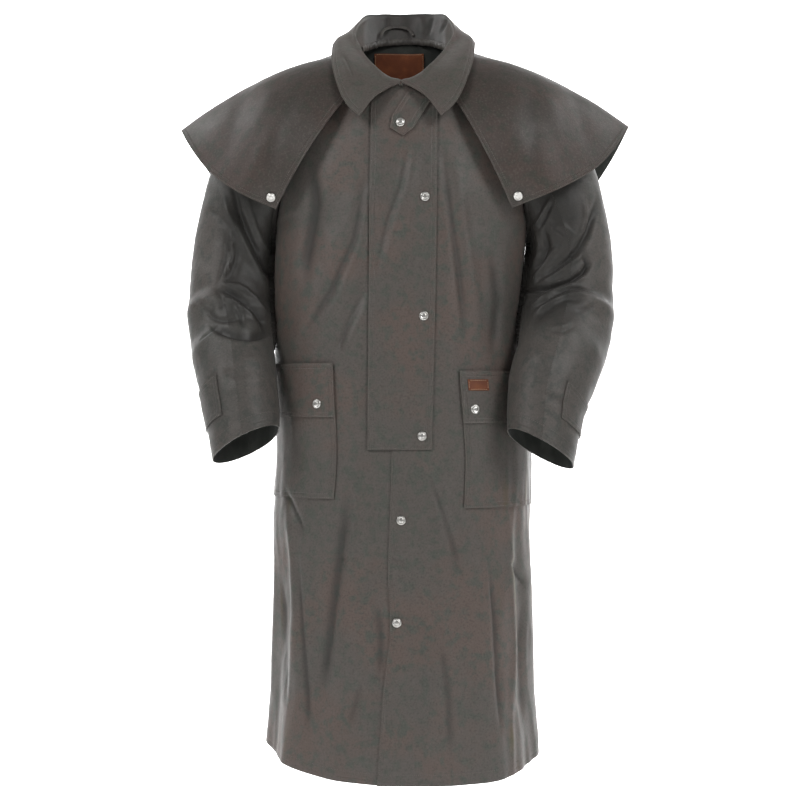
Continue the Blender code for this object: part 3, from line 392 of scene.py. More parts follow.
capeCreases = (
    (14, -2.2, ((-262, -70), (-278, -140), (-286, -200))),
    (16, 2, ((-212, -80), (-232, -150), (-240, -230))),
    (11, -1.8, ((-164, -90), (-200, -160), (-216, -240))),
    (12, -2.6, ((206, -90), (214, -160), (216, -240))),
    (15, 2, ((236, -80), (250, -150), (258, -220))),
    (13, -1.8, ((276, -70), (296, -130), (306, -190))),
    (3.5, -1, ((-96, -28), (-84, -56), (-76, -80))),
)
roughFields = {  # slow swells and finer wrinkles of each kind of cloth: size in metres, height, stretch in z
    "body": ((0.055, 0.0011, 0.55), (0.022, 0.00045, 0.8)),
    "cape": ((0.070, 0.0012, 0.6), (0.024, 0.00035, 0.9)),
    "sleeve": ((0.045, 0.0014, 0.9), (0.019, 0.0006, 1.0)),
    "collar": ((0.050, 0.0007, 1.0), (0.018, 0.0003, 1.0)),
    "flat": ((0.030, 0.0002, 1.0),),
}


def chainDistance(points, chain):  # distance from a broken line, place along it, and whether on its left
    best = np.full(len(points), 9.0)
    along = np.zeros(len(points))
    left = np.zeros(len(points), bool)
    pieces = len(chain) - 1
    for k in range(pieces):
        step = chain[k + 1] - chain[k]
        t = np.clip((points - chain[k]) @ step / max(step @ step, 1e-12), 0, 1)
        off = points - chain[k] - t[:, None] * step
        away = np.linalg.norm(off, axis=1)
        nearer = away < best
        best[nearer] = away[nearer]
        along[nearer] = (k + t[nearer]) / pieces
        left[nearer] = (step[0] * off[:, -1] > step[-1] * off[:, 0])[nearer]
    return best, along, left


def creaseHeight(co, normal, creases, looking=-1.0):  # looking is -1 for the front and 1 for the back
    flat = co[:, [0, 2]]
    facing = np.clip(normal[:, 1] * looking * 2.2, 0, 1)
    total = np.zeros(len(co))
    for width, rise, points, *lean in creases:
        chain = np.array(points) / 1000
        narrow = width / 1000
        wide = narrow * (lean[0] if lean else 1.0)
        low, high = chain.min(0) - 3 * wide, chain.max(0) + 3 * wide
        near = np.all((flat > low) & (flat < high), axis=1) & (facing > 0)
        if near.any():
            away, along, left = chainDistance(flat[near], chain)
            ends = np.clip(along * 5, 0, 1) * np.clip((1 - along) * 5, 0, 1)
            bell = np.exp(-((away / np.where(left, wide, narrow)) ** 2))
            total[near] += rise / 1000 * bell * (0.25 + 0.75 * ends)
    return total * facing


def roughHeight(co, field):
    total = np.zeros(len(co))
    for size, rise, stretch in roughFields[field]:
        scaled = co * np.array((1, 1, stretch)) / size
        total += rise * np.array([noise.noise(Vector(p)) for p in scaled.tolist()])
    return total


skirtFolds = {  # where they set in and over what length, then their pattern and height
    "down": (0.55, 0.2), "out": (0.13, 0.05), "behind": 0.6, "pattern": (38.0, 38.0, 5.0), "rise": 0.0011,
}


def sideStreaks(co):  # upright wrinkles of the skirt's sides and back
    (down, overDown), (out, overOut) = skirtFolds["down"], skirtFolds["out"]
    low = np.clip((-co[:, 2] - down) / overDown, 0, 1)
    wide = np.clip((np.abs(co[:, 0]) - out) / overOut, 0, 1)
    wide = np.maximum(wide, np.clip(co[:, 1] / overOut, 0, 1) * skirtFolds["behind"])
    scaled = co * np.array(skirtFolds["pattern"])
    ridges = np.array([1 - abs(noise.noise(Vector(p))) * 3 for p in scaled.tolist()])
    return ridges * low * wide * skirtFolds["rise"]


behindSleeve = {"wider": 1.3, "flatter": 0.35, "lower": 30}  # the front's creases again, softer


def softened(creases):
    found = []
    for width, rise, points, *_ in creases:
        lower = [(x, z - behindSleeve["lower"]) for x, z in points]
        found.append((width * behindSleeve["wider"], rise * behindSleeve["flatter"], lower))
    return found


creaseTables = {
    "body": bodyCreases,
    "cape": capeCreases,
    "sleeve": sleeveCreases,
    "collar": collarCreases,
    "flat": (),
}
behindTables = {"body": backCreases, "sleeve": softened(sleeveCreases)}


def arrayOf(mesh, name="co"):
    values = np.zeros(len(mesh.vertices) * 3)
    source = mesh.vertices if name == "co" else mesh.vertex_normals
    source.foreach_get("co" if name == "co" else "vector", values)
    return values.reshape(-1, 3)


def squareness(edge):  # how far the two triangles at an edge are from making a rectangle
    first, second = (next(v for v in face.verts if v not in edge.verts) for face in edge.link_faces)
    loop = [edge.verts[0].co, first.co, edge.verts[1].co, second.co]
    total = 0.0
    for k in range(4):
        before, after = loop[k - 1] - loop[k], loop[(k + 1) % 4] - loop[k]
        total += abs(before.normalized().dot(after.normalized()))
    return total


def joinPairs(shape):  # two triangles of each weave square become one four sided face
    fixed = {edge for edge in shape.edges if edge.is_boundary}
    best = sorted((edge for edge in shape.edges if not edge.is_boundary), key=squareness)
    free = set(shape.faces)
    sure = [face for face in shape.faces if sum(edge in fixed for edge in face.edges) == 2]
    diagonals = []

    def join(edge):
        diagonals.append(edge)
        for face in edge.link_faces:
            free.discard(face)
            for other in face.edges:
                if other != edge and other not in fixed:
                    fixed.add(other)
                    sure.extend(neighbour for neighbour in other.link_faces if neighbour in free)

    for edge in best:
        while sure:
            face = sure.pop()
            loose = [other for other in face.edges if other not in fixed]
            if face in free and len(loose) == 1 and all(near in free for near in loose[0].link_faces):
                join(loose[0])
        if edge not in fixed and all(face in free for face in edge.link_faces):
            join(edge)
    bmesh.ops.dissolve_edges(shape, edges=diagonals, use_verts=False)


def lengthwiseEdges(shape):  # the edges that run down a sheet, found from those of one long side
    corners = {vert for vert in shape.verts if len(vert.link_edges) == 2}
    start = min(corners, key=lambda vert: vert.index)
    sides = []
    for edge in start.link_edges:
        side, vert = [edge], edge.other_vert(start)
        while vert not in corners:
            edge = next(other for other in vert.link_edges if other.is_boundary and other != side[-1])
            side.append(edge)
            vert = edge.other_vert(vert)
        sides.append(side)
    found = []
    for edge in max(sides, key=lambda side: sum(item.calc_length() for item in side)):
        face = edge.link_faces[0]
        found.append(edge)
        while face:
            edge = next(other for other in face.edges if not set(other.verts) & set(edge.verts))
            found.append(edge)
            face = next((other for other in edge.link_faces if other != face), None)
    return found


def holdForm(shape):  # moves the points so that the smooth surface runs through where they are now
    shape.verts.ensure_lookup_table()
    wanted = [vert.co.copy() for vert in shape.verts]
    for _ in range(2):
        moved = []
        for vert, place in zip(shape.verts, wanted):
            rim = [edge.other_vert(vert).co for edge in vert.link_edges if edge.is_boundary]
            count = len(vert.link_edges)
            if len(rim) == 2 and count > 2:
                smooth = (rim[0] + vert.co * 4 + rim[1]) / 6
            elif rim:
                smooth = vert.co
            else:
                total = vert.co * count * count
                for edge in vert.link_edges:
                    total = total + edge.other_vert(vert).co * 4
                for face in vert.link_faces:
                    beside = [v.co for v in face.verts if v != vert and shape.edges.get((v, vert))]
                    total = total + face.calc_center_median() * 4 - vert.co - sum(beside, Vector())
                smooth = total / (count * (count + 5))
            moved.append(vert.co + place - smooth)
        for vert, spot in zip(shape.verts, moved):
            vert.co = spot


sheetCut = {"merge": 0.00002, "bend": 0.45}  # a face belongs to the next where their normals agree this far


def cutOuterSheet(name, seen):  # the face of a cloth wall that is seen, as one open sheet
    shape = bmesh.new()
    shape.from_mesh(nodes[name].data)
    bmesh.ops.remove_doubles(shape, verts=shape.verts[:], dist=sheetCut["merge"])
    shape.faces.ensure_lookup_table()
    owner = {}
    groups = []
    for first in shape.faces:
        if first in owner:
            continue
        group = [first]
        owner[first] = len(groups)
        for face in group:
            for edge in face.edges:
                for other in edge.link_faces:
                    if other not in owner and face.normal.dot(other.normal) > sheetCut["bend"]:
                        owner[other] = len(groups)
                        group.append(other)
        groups.append(group)
    groups.sort(key=lambda faces: -sum(face.calc_area() for face in faces))
    pair = groups[:2]
    if seen == "forward":
        keep = min(pair, key=lambda faces: sum(face.normal.y * face.calc_area() for face in faces))
    elif seen == "around":  # the face that looks away from what the piece wraps
        both = pair[0] + pair[1]
        middle = sum((face.calc_center_median() for face in both), Vector()) / len(both)

        def lookOut(faces):
            return sum(face.normal.dot(face.calc_center_median() - middle) for face in faces)

        keep = max(pair, key=lookOut)
    else:
        keep = pair[0]
    kept = set(keep)
    bmesh.ops.delete(shape, geom=[face for face in shape.faces if face not in kept], context="FACES")
    joinPairs(shape)
    if name.startswith("sleeve"):
        bmesh.ops.subdivide_edges(shape, edges=lengthwiseEdges(shape), cuts=1, use_grid_fill=True)
    holdForm(shape)
    mesh = bpy.data.meshes.new(name + "_cloth")
    shape.to_mesh(mesh)
    shape.free()
    return mesh


def placed(name, data):  # a new object in the scene, at the origin
    piece = bpy.data.objects.new(name, data)
    bpy.context.scene.collection.objects.link(piece)
    return piece


def finishWith(piece, kind, **settings):  # one modifier, applied at once
    bpy.ops.object.select_all(action="DESELECT")
    bpy.context.view_layer.objects.active = piece
    piece.select_set(True)
    modifier = piece.modifiers.new(kind.lower(), kind)
    for name, value in settings.items():
        setattr(modifier, name, value)
    bpy.ops.object.modifier_apply(modifier=modifier.name)
    piece.select_set(False)


def boundarySides(mesh):  # the four sides of a sheet, each a row of points, named by where it lies
    shape = bmesh.new()
    shape.from_mesh(mesh)
    rim = [edge for edge in shape.edges if edge.is_boundary]
    corners = {vert for edge in rim for vert in edge.verts if len(vert.link_edges) == 2}
    start = next(iter(sorted(corners, key=lambda vert: vert.index)))
    edge = next(edge for edge in start.link_edges if edge.is_boundary)
    sides, row, vert = [], [start.co.copy()], start
    while True:
        vert = edge.other_vert(vert)
        row.append(vert.co.copy())
        if vert in corners:
            sides.append(np.array(row))
            row = [vert.co.copy()]
        if vert == start:
            break
        edge = next(other for other in vert.link_edges if other.is_boundary and other != edge)
    shape.free()
    heights = [side[:, 2].mean() for side in sides]
    top = int(np.argmax(heights))
    rest = [sides[(top + 1) % 4], sides[(top + 3) % 4]]
    named = {"top": sides[top], "bottom": sides[(top + 2) % 4]}
    rest.sort(key=lambda side: side[:, 0].mean())
    named["left"], named["right"] = rest
    rest.sort(key=lambda side: side[:, 1].mean())
    named["front"], named["behind"] = rest
    return named


def alongRow(row, gap):  # points and directions at even steps along a broken line
    lengths = np.concatenate([[0], np.cumsum(np.linalg.norm(np.diff(row, axis=0), axis=1))])
    count = max(int(lengths[-1] / gap), 2)
    places = (np.arange(count) + 0.5) * lengths[-1] / count
    points = np.array([np.interp(places, lengths, row[:, k]) for k in range(3)]).T
    ahead = np.array([np.interp(places + 0.002, lengths, row[:, k]) for k in range(3)]).T
    back = np.array([np.interp(places - 0.002, lengths, row[:, k]) for k in range(3)]).T
    direction = ahead - back
    direction /= np.maximum(np.linalg.norm(direction, axis=1), 1e-9)[:, None]
    return points, direction, places, lengths[-1]


stitchShape = {
    "pitch": 0.0034, "length": 0.0026, "width": 0.0009, "height": 0.00035, "sunk": 0.0001, "full": 0.55,
}


def stitchRows(tree, centre, rows):  # the corner points of each stitch of the given rows
    found = []
    half, wide = stitchShape["length"] / 2, stitchShape["width"] / 2
    sunk = stitchShape["sunk"]
    roof = ((-wide, 0), (0, stitchShape["height"] + sunk), (wide, 0))
    for side, inset, ends in rows:
        points, direction, places, total = alongRow(side, stitchShape["pitch"])
        for point, ahead, place in zip(points, direction, places):
            if place < ends or place > total - ends:
                continue
            _, normal, _, _ = tree.find_nearest(Vector(point))
            normal = np.array(normal)
            inward = np.cross(normal, ahead)
            if inward @ (centre - point) < 0 and inset < 0.5:
                inward = -inward
            spot, normal, _, _ = tree.find_nearest(Vector(point + inward * inset))
            spot, normal = np.array(spot), np.array(normal)
            ahead = ahead - normal * (ahead @ normal)
            ahead /= max(np.linalg.norm(ahead), 1e-9)
            across = np.cross(normal, ahead)
            spot = spot - normal * sunk
            full = ahead * half * stitchShape["full"]
            ring = [spot + full * s + across * w + normal * h for s in (-1, 1) for w, h in roof]
            found.append([spot - ahead * half, *ring, spot + ahead * half])
    return np.array(found)


stitchFaces = (
    (1, 2, 5, 4), (2, 3, 6, 5), (3, 1, 4, 6), (0, 2, 1), (0, 3, 2), (0, 1, 3), (7, 4, 5), (7, 5, 6), (7, 6, 4),
)


def makeStitches(name, found, finish):
    points = found.reshape(-1, 3)
    faces = [[8 * k + corner for corner in face] for k in range(len(found)) for face in stitchFaces]
    mesh = bpy.data.meshes.new(name)
    mesh.from_pydata(points.tolist(), [], faces)
    mesh.materials.append(finishes[finish])
    mesh.shade_smooth()
    piece = placed(name, mesh)
    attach(piece, "root")
    return piece


throat = {
    "middle": -0.0006, "pinch": 0.08, "reach": (0.0048, 0.0150), "front": -0.100, "low": -0.094,
    "rise": 0.015, "back": 0.0035, "climb": (-0.128, -0.100), "width": (0.020, 0.034),
}


def neckShape(name, co):  # the stand ends meet at the throat, and the storm flap runs up behind them
    if name == "collar":
        near = (co[:, 1] < throat["front"]) & (co[:, 2] > throat["low"])
        off = co[:, 0] - throat["middle"]
        share = np.interp(np.abs(off), throat["reach"], (throat["pinch"], 1.0))
        co[near, 0] = throat["middle"] + (off * share)[near]
    if name == "storm_flap":
        share = np.interp(co[:, 2], throat["climb"], (0.0, 1.0))
        share *= np.interp(np.abs(co[:, 0]), throat["width"], (1.0, 0.0))
        co[:, 2] += share * throat["rise"]
        co[:, 1] += share * throat["back"]
    return co


closeFit = {"gap": 0.0010, "reach": 0.0070, "back": 0.030, "heights": (-0.54, -0.49, -0.25, -0.21)}


def besideBody(side, co, normal):  # the part of a sleeve that lies along the body comes just clear of it
    outward = 1.0 if side == "left" else -1.0
    facing = np.clip(-outward * normal[:, 0] * 1.6 - 0.3, 0, 1)
    share = facing * np.interp(co[:, 2], closeFit["heights"], (0.0, 1.0, 1.0, 0.0))
    for k in np.flatnonzero(share > 0):
        start = Vector(co[k]) + Vector((outward * closeFit["back"], 0, 0))
        for name in ("front_" + side, "back_" + side):
            spot = openSheets[name]["shaped"].ray_cast(start, Vector((-outward, 0, 0)))[0]
            if spot:
                gap = (co[k, 0] - spot.x) * outward - closeFit["gap"]
                if gap < closeFit["reach"]:
                    co[k, 0] -= outward * gap * (share[k] if gap > 0 else 1.0)
    return co


openSheets = {}
smoothLevels = {"back": 2, "cape": 2, "cuff": 2, "neck": 2}  # how often a sheet is smoothed, else three times
seamFamilies = (
    ("front_left", "back_left", "front_right", "back_right"),
    ("sleeve_top_left", "sleeve_under_left"),
    ("sleeve_top_right", "sleeve_under_right"),
    ("cape_left", "cape_right"),
)


def keepSheet(name, piece, rim=()):
    co, normal = arrayOf(piece.data), arrayOf(piece.data, "normal")
    openSheets[name] = {"piece": piece, "co": co, "normal": normal, "rim": sorted(rim)}


def openSheet(name, seen="outside"):  # the smoothed sheet of a node before its creases, made once
    if name not in openSheets:
        levels = smoothLevels.get(name.split("_")[0], 3)
        mesh = cutOuterSheet(name, seen)
        piece = placed(name + "_cloth", mesh)
        mesh.materials.clear()
        mesh.polygons.foreach_set("material_index", np.zeros(len(mesh.polygons), np.int32))
        finishWith(piece, "SUBSURF", levels=levels, render_levels=levels, boundary_smooth="PRESERVE_CORNERS")
        piece.data.shade_smooth()
        keepSheet(name, piece, {vert for face in boundaryEdges(piece.data) for vert in face})
    return openSheets[name]


def boundaryEdges(mesh):
    counts = {}
    for face in mesh.polygons:
        for key in face.edge_keys:
            counts[key] = counts.get(key, 0) + 1
    return [key for key, count in counts.items() if count == 1]


def meetAtSeams(name, co, normal):  # sheets sewn together share their direction at the seam and close up
    partners = [other for family in seamFamilies if name in family for other in family if other != name]
    for other in partners:
        sheet = openSheet(other)
        tree = KDTree(len(sheet["rim"]))
        for k in sheet["rim"]:
            tree.insert(sheet["co"][k], k)
        tree.balance()
        for k in openSheets[name]["rim"]:
            spot, near, away = tree.find(openSheets[name]["co"][k])
            if away < seamReach:
                normal[k] += sheet["normal"][near]
                co[k] += (np.array(spot) - openSheets[name]["co"][k]) * seamPull
    normal /= np.linalg.norm(normal, axis=1)[:, None]


seamReach, seamPull = 0.0012, 0.35
clearOf = 0.0005  # how far a strap lies off the sleeve
farFromEdge = 0.05
sharpEdge = math.radians(55)
# depth of a crease at which its painted shade is darkest
foldShade = {"sleeve": 0.0070, "body": 0.0060, "cape": 0.0060, "collar": 0.0040, "flat": 0.0100}
clothPieces = {}
usualCut = {  # what a cut has where it says nothing else
    "thickness": 0.0016, "area": None, "held": "laid", "seen": "outside", "push": 0.0, "thread": "thread",
    "rests": (), "laidOn": (), "extras": (),
}


def clothPiece(name, cut, side=""):  # names that end in _ and the row named edge are completed by the side
    cut = {**usualCut, **cut}
    field, thickness = cut["field"], cut["thickness"]
    rests = [other + side if other.endswith("_") else other for other in cut["rests"]]
    laidOn = [other + side for other in cut["laidOn"]]
    rows = [(side if label == "edge" else label, inset, ends) for label, inset, ends in cut["rows"]]
    sheet = openSheet(name, cut["seen"])
    piece = sheet["piece"]
    mesh = piece.data
    for finish in cut["finish"]:
        mesh.materials.append(finishes[finish])
    co, normal = neckShape(name, sheet["co"].copy()), sheet["normal"].copy()
    meetAtSeams(name, co, normal)
    creases = creaseHeight(co, normal, creaseTables[field])
    if field in behindTables and not name.startswith("pocket"):
        creases += creaseHeight(co, normal, behindTables[field], 1.0)
    height = creases + roughHeight(co, field) + cut["push"]
    if field == "body":
        height += sideStreaks(co)
    co = co + normal * height[:, None]
    if name.startswith("sleeve"):
        co = besideBody(name.split("_")[-1], co, normal)
    for k in range(len(co)) if laidOn else ():
        hits = [openSheets[other]["shaped"].find_nearest(Vector(co[k])) for other in laidOn]
        spot, facing, _, _ = min(hits, key=lambda hit: hit[3])
        co[k] = spot + facing * (thickness + clearOf)
    mesh.vertices.foreach_set("co", co.ravel())
    mesh.update()
    sides = boundarySides(mesh)
    sheet["stand"] = sides["top"]
    edge = np.full(len(co), farFromEdge)
    for side in {label for label, _, _ in rows}:
        near = chainDistance(co, sides[side][::2])[0]
        edge = np.minimum(edge, near)
    mesh.attributes.new("edge", "FLOAT", "POINT").data.foreach_set("value", edge.astype(np.float32))
    # the fold attribute carries painted shade, darkest in the deepest creases
    fold = np.clip(-creases / foldShade[field], 0, 1)
    mesh.attributes.new("fold", "FLOAT", "POINT").data.foreach_set("value", fold.astype(np.float32))
    tree = BVHTree.FromPolygons(co.tolist(), [tuple(face.vertices) for face in mesh.polygons])
    sheet["shaped"] = tree
    stitched = [(sides[label], inset, ends) for label, inset, ends in rows]
    found = stitchRows(tree, co.mean(0), stitched) if stitched else np.zeros((0, 8, 3))
    layers = {"offset": -1.0, "use_rim": True, "material_offset": 1, "material_offset_rim": 0}
    finishWith(piece, "SOLIDIFY", thickness=thickness, **layers)
    piece.data.shade_smooth()
    piece.data.set_sharp_from_angle(angle=sharpEdge)
    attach(piece, "root")
    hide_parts(name)
    extra = list(cut["extras"])
    if len(found):
        extra.append(makeStitches(name + "_stitches", found, cut["thread"]))
    clothPieces[name] = piece
    print(name, "is cut and shaped,", len(piece.data.polygons), "faces,", len(found), "stitches")
    return piece


edgeRow, deepRow = 0.0024, 0.0085  # the two rows of a double stitched edge


def rowPair(labels, ends=(0.003, 0.009)):
    return [(label, inset, end) for label in labels for inset, end in zip((edgeRow, deepRow), ends)]


def rowsRound(labels, inset, end):
    return [(label, inset, end) for label in labels]


shell = {"field": "body", "finish": ("body", "lining"), "slot": "oilskin", "held": "draped"}
armCloth = {"field": "sleeve", "finish": ("sleeve", "lining"), "slot": "oilskin_sleeve", "held": "draped"}
patch = {"field": "body", "finish": ("body", "body"), "slot": "oilskin", "thickness": 0.0020}
hemRow, cuffRow = ("bottom", 0.018, 0.002), ("bottom", 0.022, 0.002)
allRound = ("left", "right", "bottom", "top")
pocketEnds = (edgeRow + 0.001, deepRow + 0.001)
cuts = {
    "front_": {**shell, "flat": (0.40, 1.22), "area": 0.36, "rows": [hemRow, ("edge", edgeRow, 0.01)]},
    "back_": {**shell, "flat": (0.40, 1.24), "area": 0.36, "rows": [hemRow]},
    "sleeve_top_": {
        **armCloth, "flat": (0.26, 0.64), "area": 0.15,
        "rows": [cuffRow, *rowPair(("behind",), (0.01, 0.01))],
    },
    "sleeve_under_": {**armCloth, "flat": (0.20, 0.50), "area": 0.09, "rows": [cuffRow]},
    "cape_": {
        "field": "cape", "finish": ("cape", "lining"), "slot": "oilskin_cape", "held": "draped",
        "flat": (0.55, 0.40), "area": 0.19, "rows": rowPair(("bottom", "front")), "rests": ("front_", "back_"),
    },
    "pocket_": {
        **patch, "thickness": 0.0016, "flat": (0.17, 0.22), "push": 0.0008,
        "rows": rowPair(("left", "right", "bottom"), pocketEnds), "rests": ("front_",),
    },
    "pocket_flap_": {
        **patch, "flat": (0.17, 0.09), "push": 0.0010,
        "rows": rowPair(allRound, pocketEnds), "rests": ("pocket_",),
    },
    "cuff_strap_": {
        "field": "sleeve", "finish": ("sleeve", "sleeve"), "slot": "oilskin_sleeve", "thickness": 0.0020,
        "flat": (0.14, 0.06), "seen": "around", "rows": rowsRound(allRound, edgeRow, edgeRow + 0.001),
        "rests": ("sleeve_top_",), "laidOn": ("sleeve_top_", "sleeve_under_"),
    },
    "collar": {
        "field": "collar", "finish": ("collar", "collar"), "slot": "oilskin", "thickness": 0.0022,
        "flat": (0.60, 0.16), "held": "folded", "rests": ("cape_left", "cape_right"),
        "rows": [*rowPair(("bottom",)), *rowsRound(("left", "right"), edgeRow, 0.003),
                 *rowsRound(("left", "right"), deepRow, 0.009)],
    },
    "storm_flap": {
        **patch, "flat": (0.115, 0.60), "push": 0.0003, "rests": ("front_left", "front_right"),
        "rows": [*rowPair(("left",), (0.003, 0.003)), *rowPair(("right",)), ("bottom", edgeRow, 0.003)],
    },
    "throat_tab": {
        **patch, "flat": (0.075, 0.040), "seen": "forward", "push": 0.0012, "rests": ("storm_flap",),
        "rows": rowsRound(("left", "right", "bottom"), edgeRow, 0.003),
    },
}
for side in ("left", "right"):
    for kind in [key for key in cuts if key.endswith("_")]:
        clothPiece(kind + side, cuts[kind], side)
for name in ("collar", "storm_flap", "throat_tab"):
    clothPiece(name, cuts[name])


def gridSheet(name, points):  # a sheet from rows of points
    count = len(points[0])
    faces = []
    for k in range(len(points) - 1):
        for n in range(k * count, (k + 1) * count - 1):
            faces.append((n, n + 1, n + count + 1, n + count))
    mesh = bpy.data.meshes.new(name)
    mesh.from_pydata([tuple(p) for row in points for p in row], [], faces)
    return placed(name, mesh)


seamLip = {
    "high": 0.0035, "low": 0.0075, "off": 0.0022, "round": 0.0016, "pucker": 0.0016, "wave": 0.0014,
    "pitch": 0.0016, "behind": 0.022, "thickness": 0.0012,
}


def makeSeamLip():  # puckered edge of the back neck seam, under the collar stand
    row = openSheets["collar"]["stand"]
    row = row[row[:, 1] > seamLip["behind"]]
    path = alongRow(row, seamLip["pitch"])[0]
    points = []
    for k in range(6):
        share = k / 5
        line = []
        for n, spot in enumerate(path):
            inward = -Vector((spot[0], spot[1], 0)).normalized()
            gather = noise.noise(Vector((n * 0.42, share * 0.7, 3.0))) * seamLip["pucker"] * (0.4 + share)
            wave = noise.noise(Vector((n * 0.20, 5.0, 1.0))) * seamLip["wave"]
            drop = seamLip["high"] - share * (seamLip["high"] + seamLip["low"]) + wave
            out = seamLip["off"] + math.sin(math.pi * share) * seamLip["round"] + gather
            line.append(Vector(spot) + inward * out + Vector((0, 0, drop)))
        points.append(line)
    piece = gridSheet("neck_seam_lip", points)
    piece.data.materials.append(finishes["collar"])
    finishWith(piece, "SUBSURF", levels=1, render_levels=1)
    finishWith(piece, "SOLIDIFY", thickness=seamLip["thickness"], offset=0.0)
    piece.data.shade_smooth()
    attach(piece, "root")
    return piece


labelShape = {
    "left": -0.0545, "right": 0.0312, "top": 0.0044, "height": 0.050, "bow": 0.0009, "off": 0.0030,
    "rows": 15, "columns": 25,
}


def layLabel():  # the label as a true rectangle, laid against the lining
    mesh = clothPieces["neck_lining"].data
    tree = BVHTree.FromPolygons([v.co for v in mesh.vertices], [tuple(face.vertices) for face in mesh.polygons])
    points = []
    for k in range(labelShape["rows"]):
        line = []
        for n in range(labelShape["columns"]):
            share = n / (labelShape["columns"] - 1)
            x = labelShape["left"] + (labelShape["right"] - labelShape["left"]) * share
            bow = labelShape["bow"] * math.sin(math.pi * share)
            z = labelShape["top"] + bow - labelShape["height"] * k / (labelShape["rows"] - 1)
            ahead = tree.ray_cast(Vector((x, -0.02, z)), Vector((0, 1, 0)))[0]
            spot = ahead or tree.find_nearest(Vector((x, 0.08, z)))[0]
            line.append(Vector((x, spot.y - labelShape["off"], z)))
        points.append(line)
    piece = gridSheet("neck_label_cloth", points)
    finishWith(piece, "SMOOTH", factor=0.5, iterations=4, use_x=False, use_z=False)
    finishWith(piece, "SUBSURF", levels=1, render_levels=1, boundary_smooth="PRESERVE_CORNERS")
    piece.data.shade_smooth()
    if arrayOf(piece.data, "normal")[:, 1].mean() > 0:
        piece.data.flip_normals()
    keepSheet("neck_label", piece)


smallPiece = {"field": "flat", "thickness": 0.0011, "seen": "forward"}
liningCut = {
    **smallPiece, "finish": ("lining", "lining"), "slot": "lining", "flat": (0.20, 0.15),
    "rows": (), "rests": ("back_left", "back_right"),
}
labelCut = {
    **smallPiece, "finish": ("label", "label"), "slot": "label_leather", "flat": (0.095, 0.050),
    "rows": rowsRound(allRound, 0.0014, 0.002), "rests": ("neck_lining",), "thread": "tanThread",
}
tagCut = {
    **smallPiece, "finish": ("tag", "tag"), "slot": "tag_leather", "flat": (0.033, 0.018), "push": 0.0013,
    "rows": rowsRound(allRound, 0.0016, 0.002), "rests": ("pocket_flap_left",), "thread": "tanThread",
}
clothPiece("neck_lining", {**liningCut, "extras": (makeSeamLip(),)})
layLabel()
clothPiece("neck_label", labelCut)
clothPiece("pocket_tag", tagCut)

snapLook = {
    "radius": 0.0075, "skirt": 0.0010, "bevel": 0.00018,
    "steps": (  # inset and lift of each ring, from the rim to the middle
        (0.0004, 0.0006), (0.0007, 0.0005), (0.0012, 0.0001),
        (0.0012, -0.0005), (0.0006, 0.0007), (0.0012, 0.0002),
    ),
}


def topFace(face):
    return round(face.normal.z, 3), -face.center.xy.length, len(face.vertices)


def makeSnapCap():  # pressed nickel cap, its foot at the origin and its crown up
    bpy.ops.object.select_all(action="DESELECT")
    radius, skirt = snapLook["radius"], snapLook["skirt"]
    bpy.ops.mesh.primitive_cylinder_add(vertices=48, radius=radius, depth=skirt, location=(0, 0, skirt / 2))
    cap = bpy.context.object
    bpy.ops.object.transform_apply(location=True)
    for inset, lift in snapLook["steps"]:
        bpy.ops.object.mode_set(mode="EDIT")
        bpy.ops.mesh.select_mode(type="FACE")
        bpy.ops.mesh.select_all(action="DESELECT")
        bpy.ops.object.mode_set(mode="OBJECT")
        top = max(cap.data.polygons, key=topFace)
        top.select = True
        bpy.ops.object.mode_set(mode="EDIT")
        bpy.ops.mesh.inset(thickness=inset)
        bpy.ops.transform.translate(value=(0, 0, lift))
        bpy.ops.object.mode_set(mode="OBJECT")
    sharp = math.radians(25)
    finishWith(cap, "BEVEL", width=snapLook["bevel"], segments=2, limit_method="ANGLE", angle_limit=sharp)
    cap.data.shade_smooth()
    cap.data.set_sharp_from_angle(angle=math.radians(40))
    cap.data.materials.append(finishes["nickel"])
    return cap


def nodePoints(name):  # the corners of a CAD node, each once
    return np.unique(arrayOf(nodes[name].data).round(7), axis=0)


def snapPlace(name):  # foot, axis and turn of a snap node
    co = nodePoints(name)
    centre = co.mean(0)
    axis = np.linalg.svd(co - centre)[2][2]
    heights = (co - centre) @ axis
    radii = np.linalg.norm(co - centre - heights[:, None] * axis, axis=1)
    foot = radii > radii.max() * 0.97
    if heights[foot].mean() > 0:
        axis, heights = -axis, -heights
    middle = centre + axis * heights.min()
    return Matrix.Translation(Vector(middle)) @ Vector(axis).to_track_quat("Z", "Y").to_matrix().to_4x4()


pattern = makeSnapCap()
for name in sorted(nodes):
    if name.startswith("snap_"):
        mesh = pattern.data.copy()
        mesh.transform(snapPlace(name))
        piece = placed(name + "_cap", mesh)
        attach(piece, "root")
        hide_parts(name)
bpy.data.objects.remove(pattern)
print("snap caps are on")

hangerLook = {
    "across": 0.0027, "thick": 0.0009, "sides": 14, "steps": 40, "samples": 15, "nearest": 12,
    "smoothing": 4, "facing": (0.0, -1.0, 0.25),
}


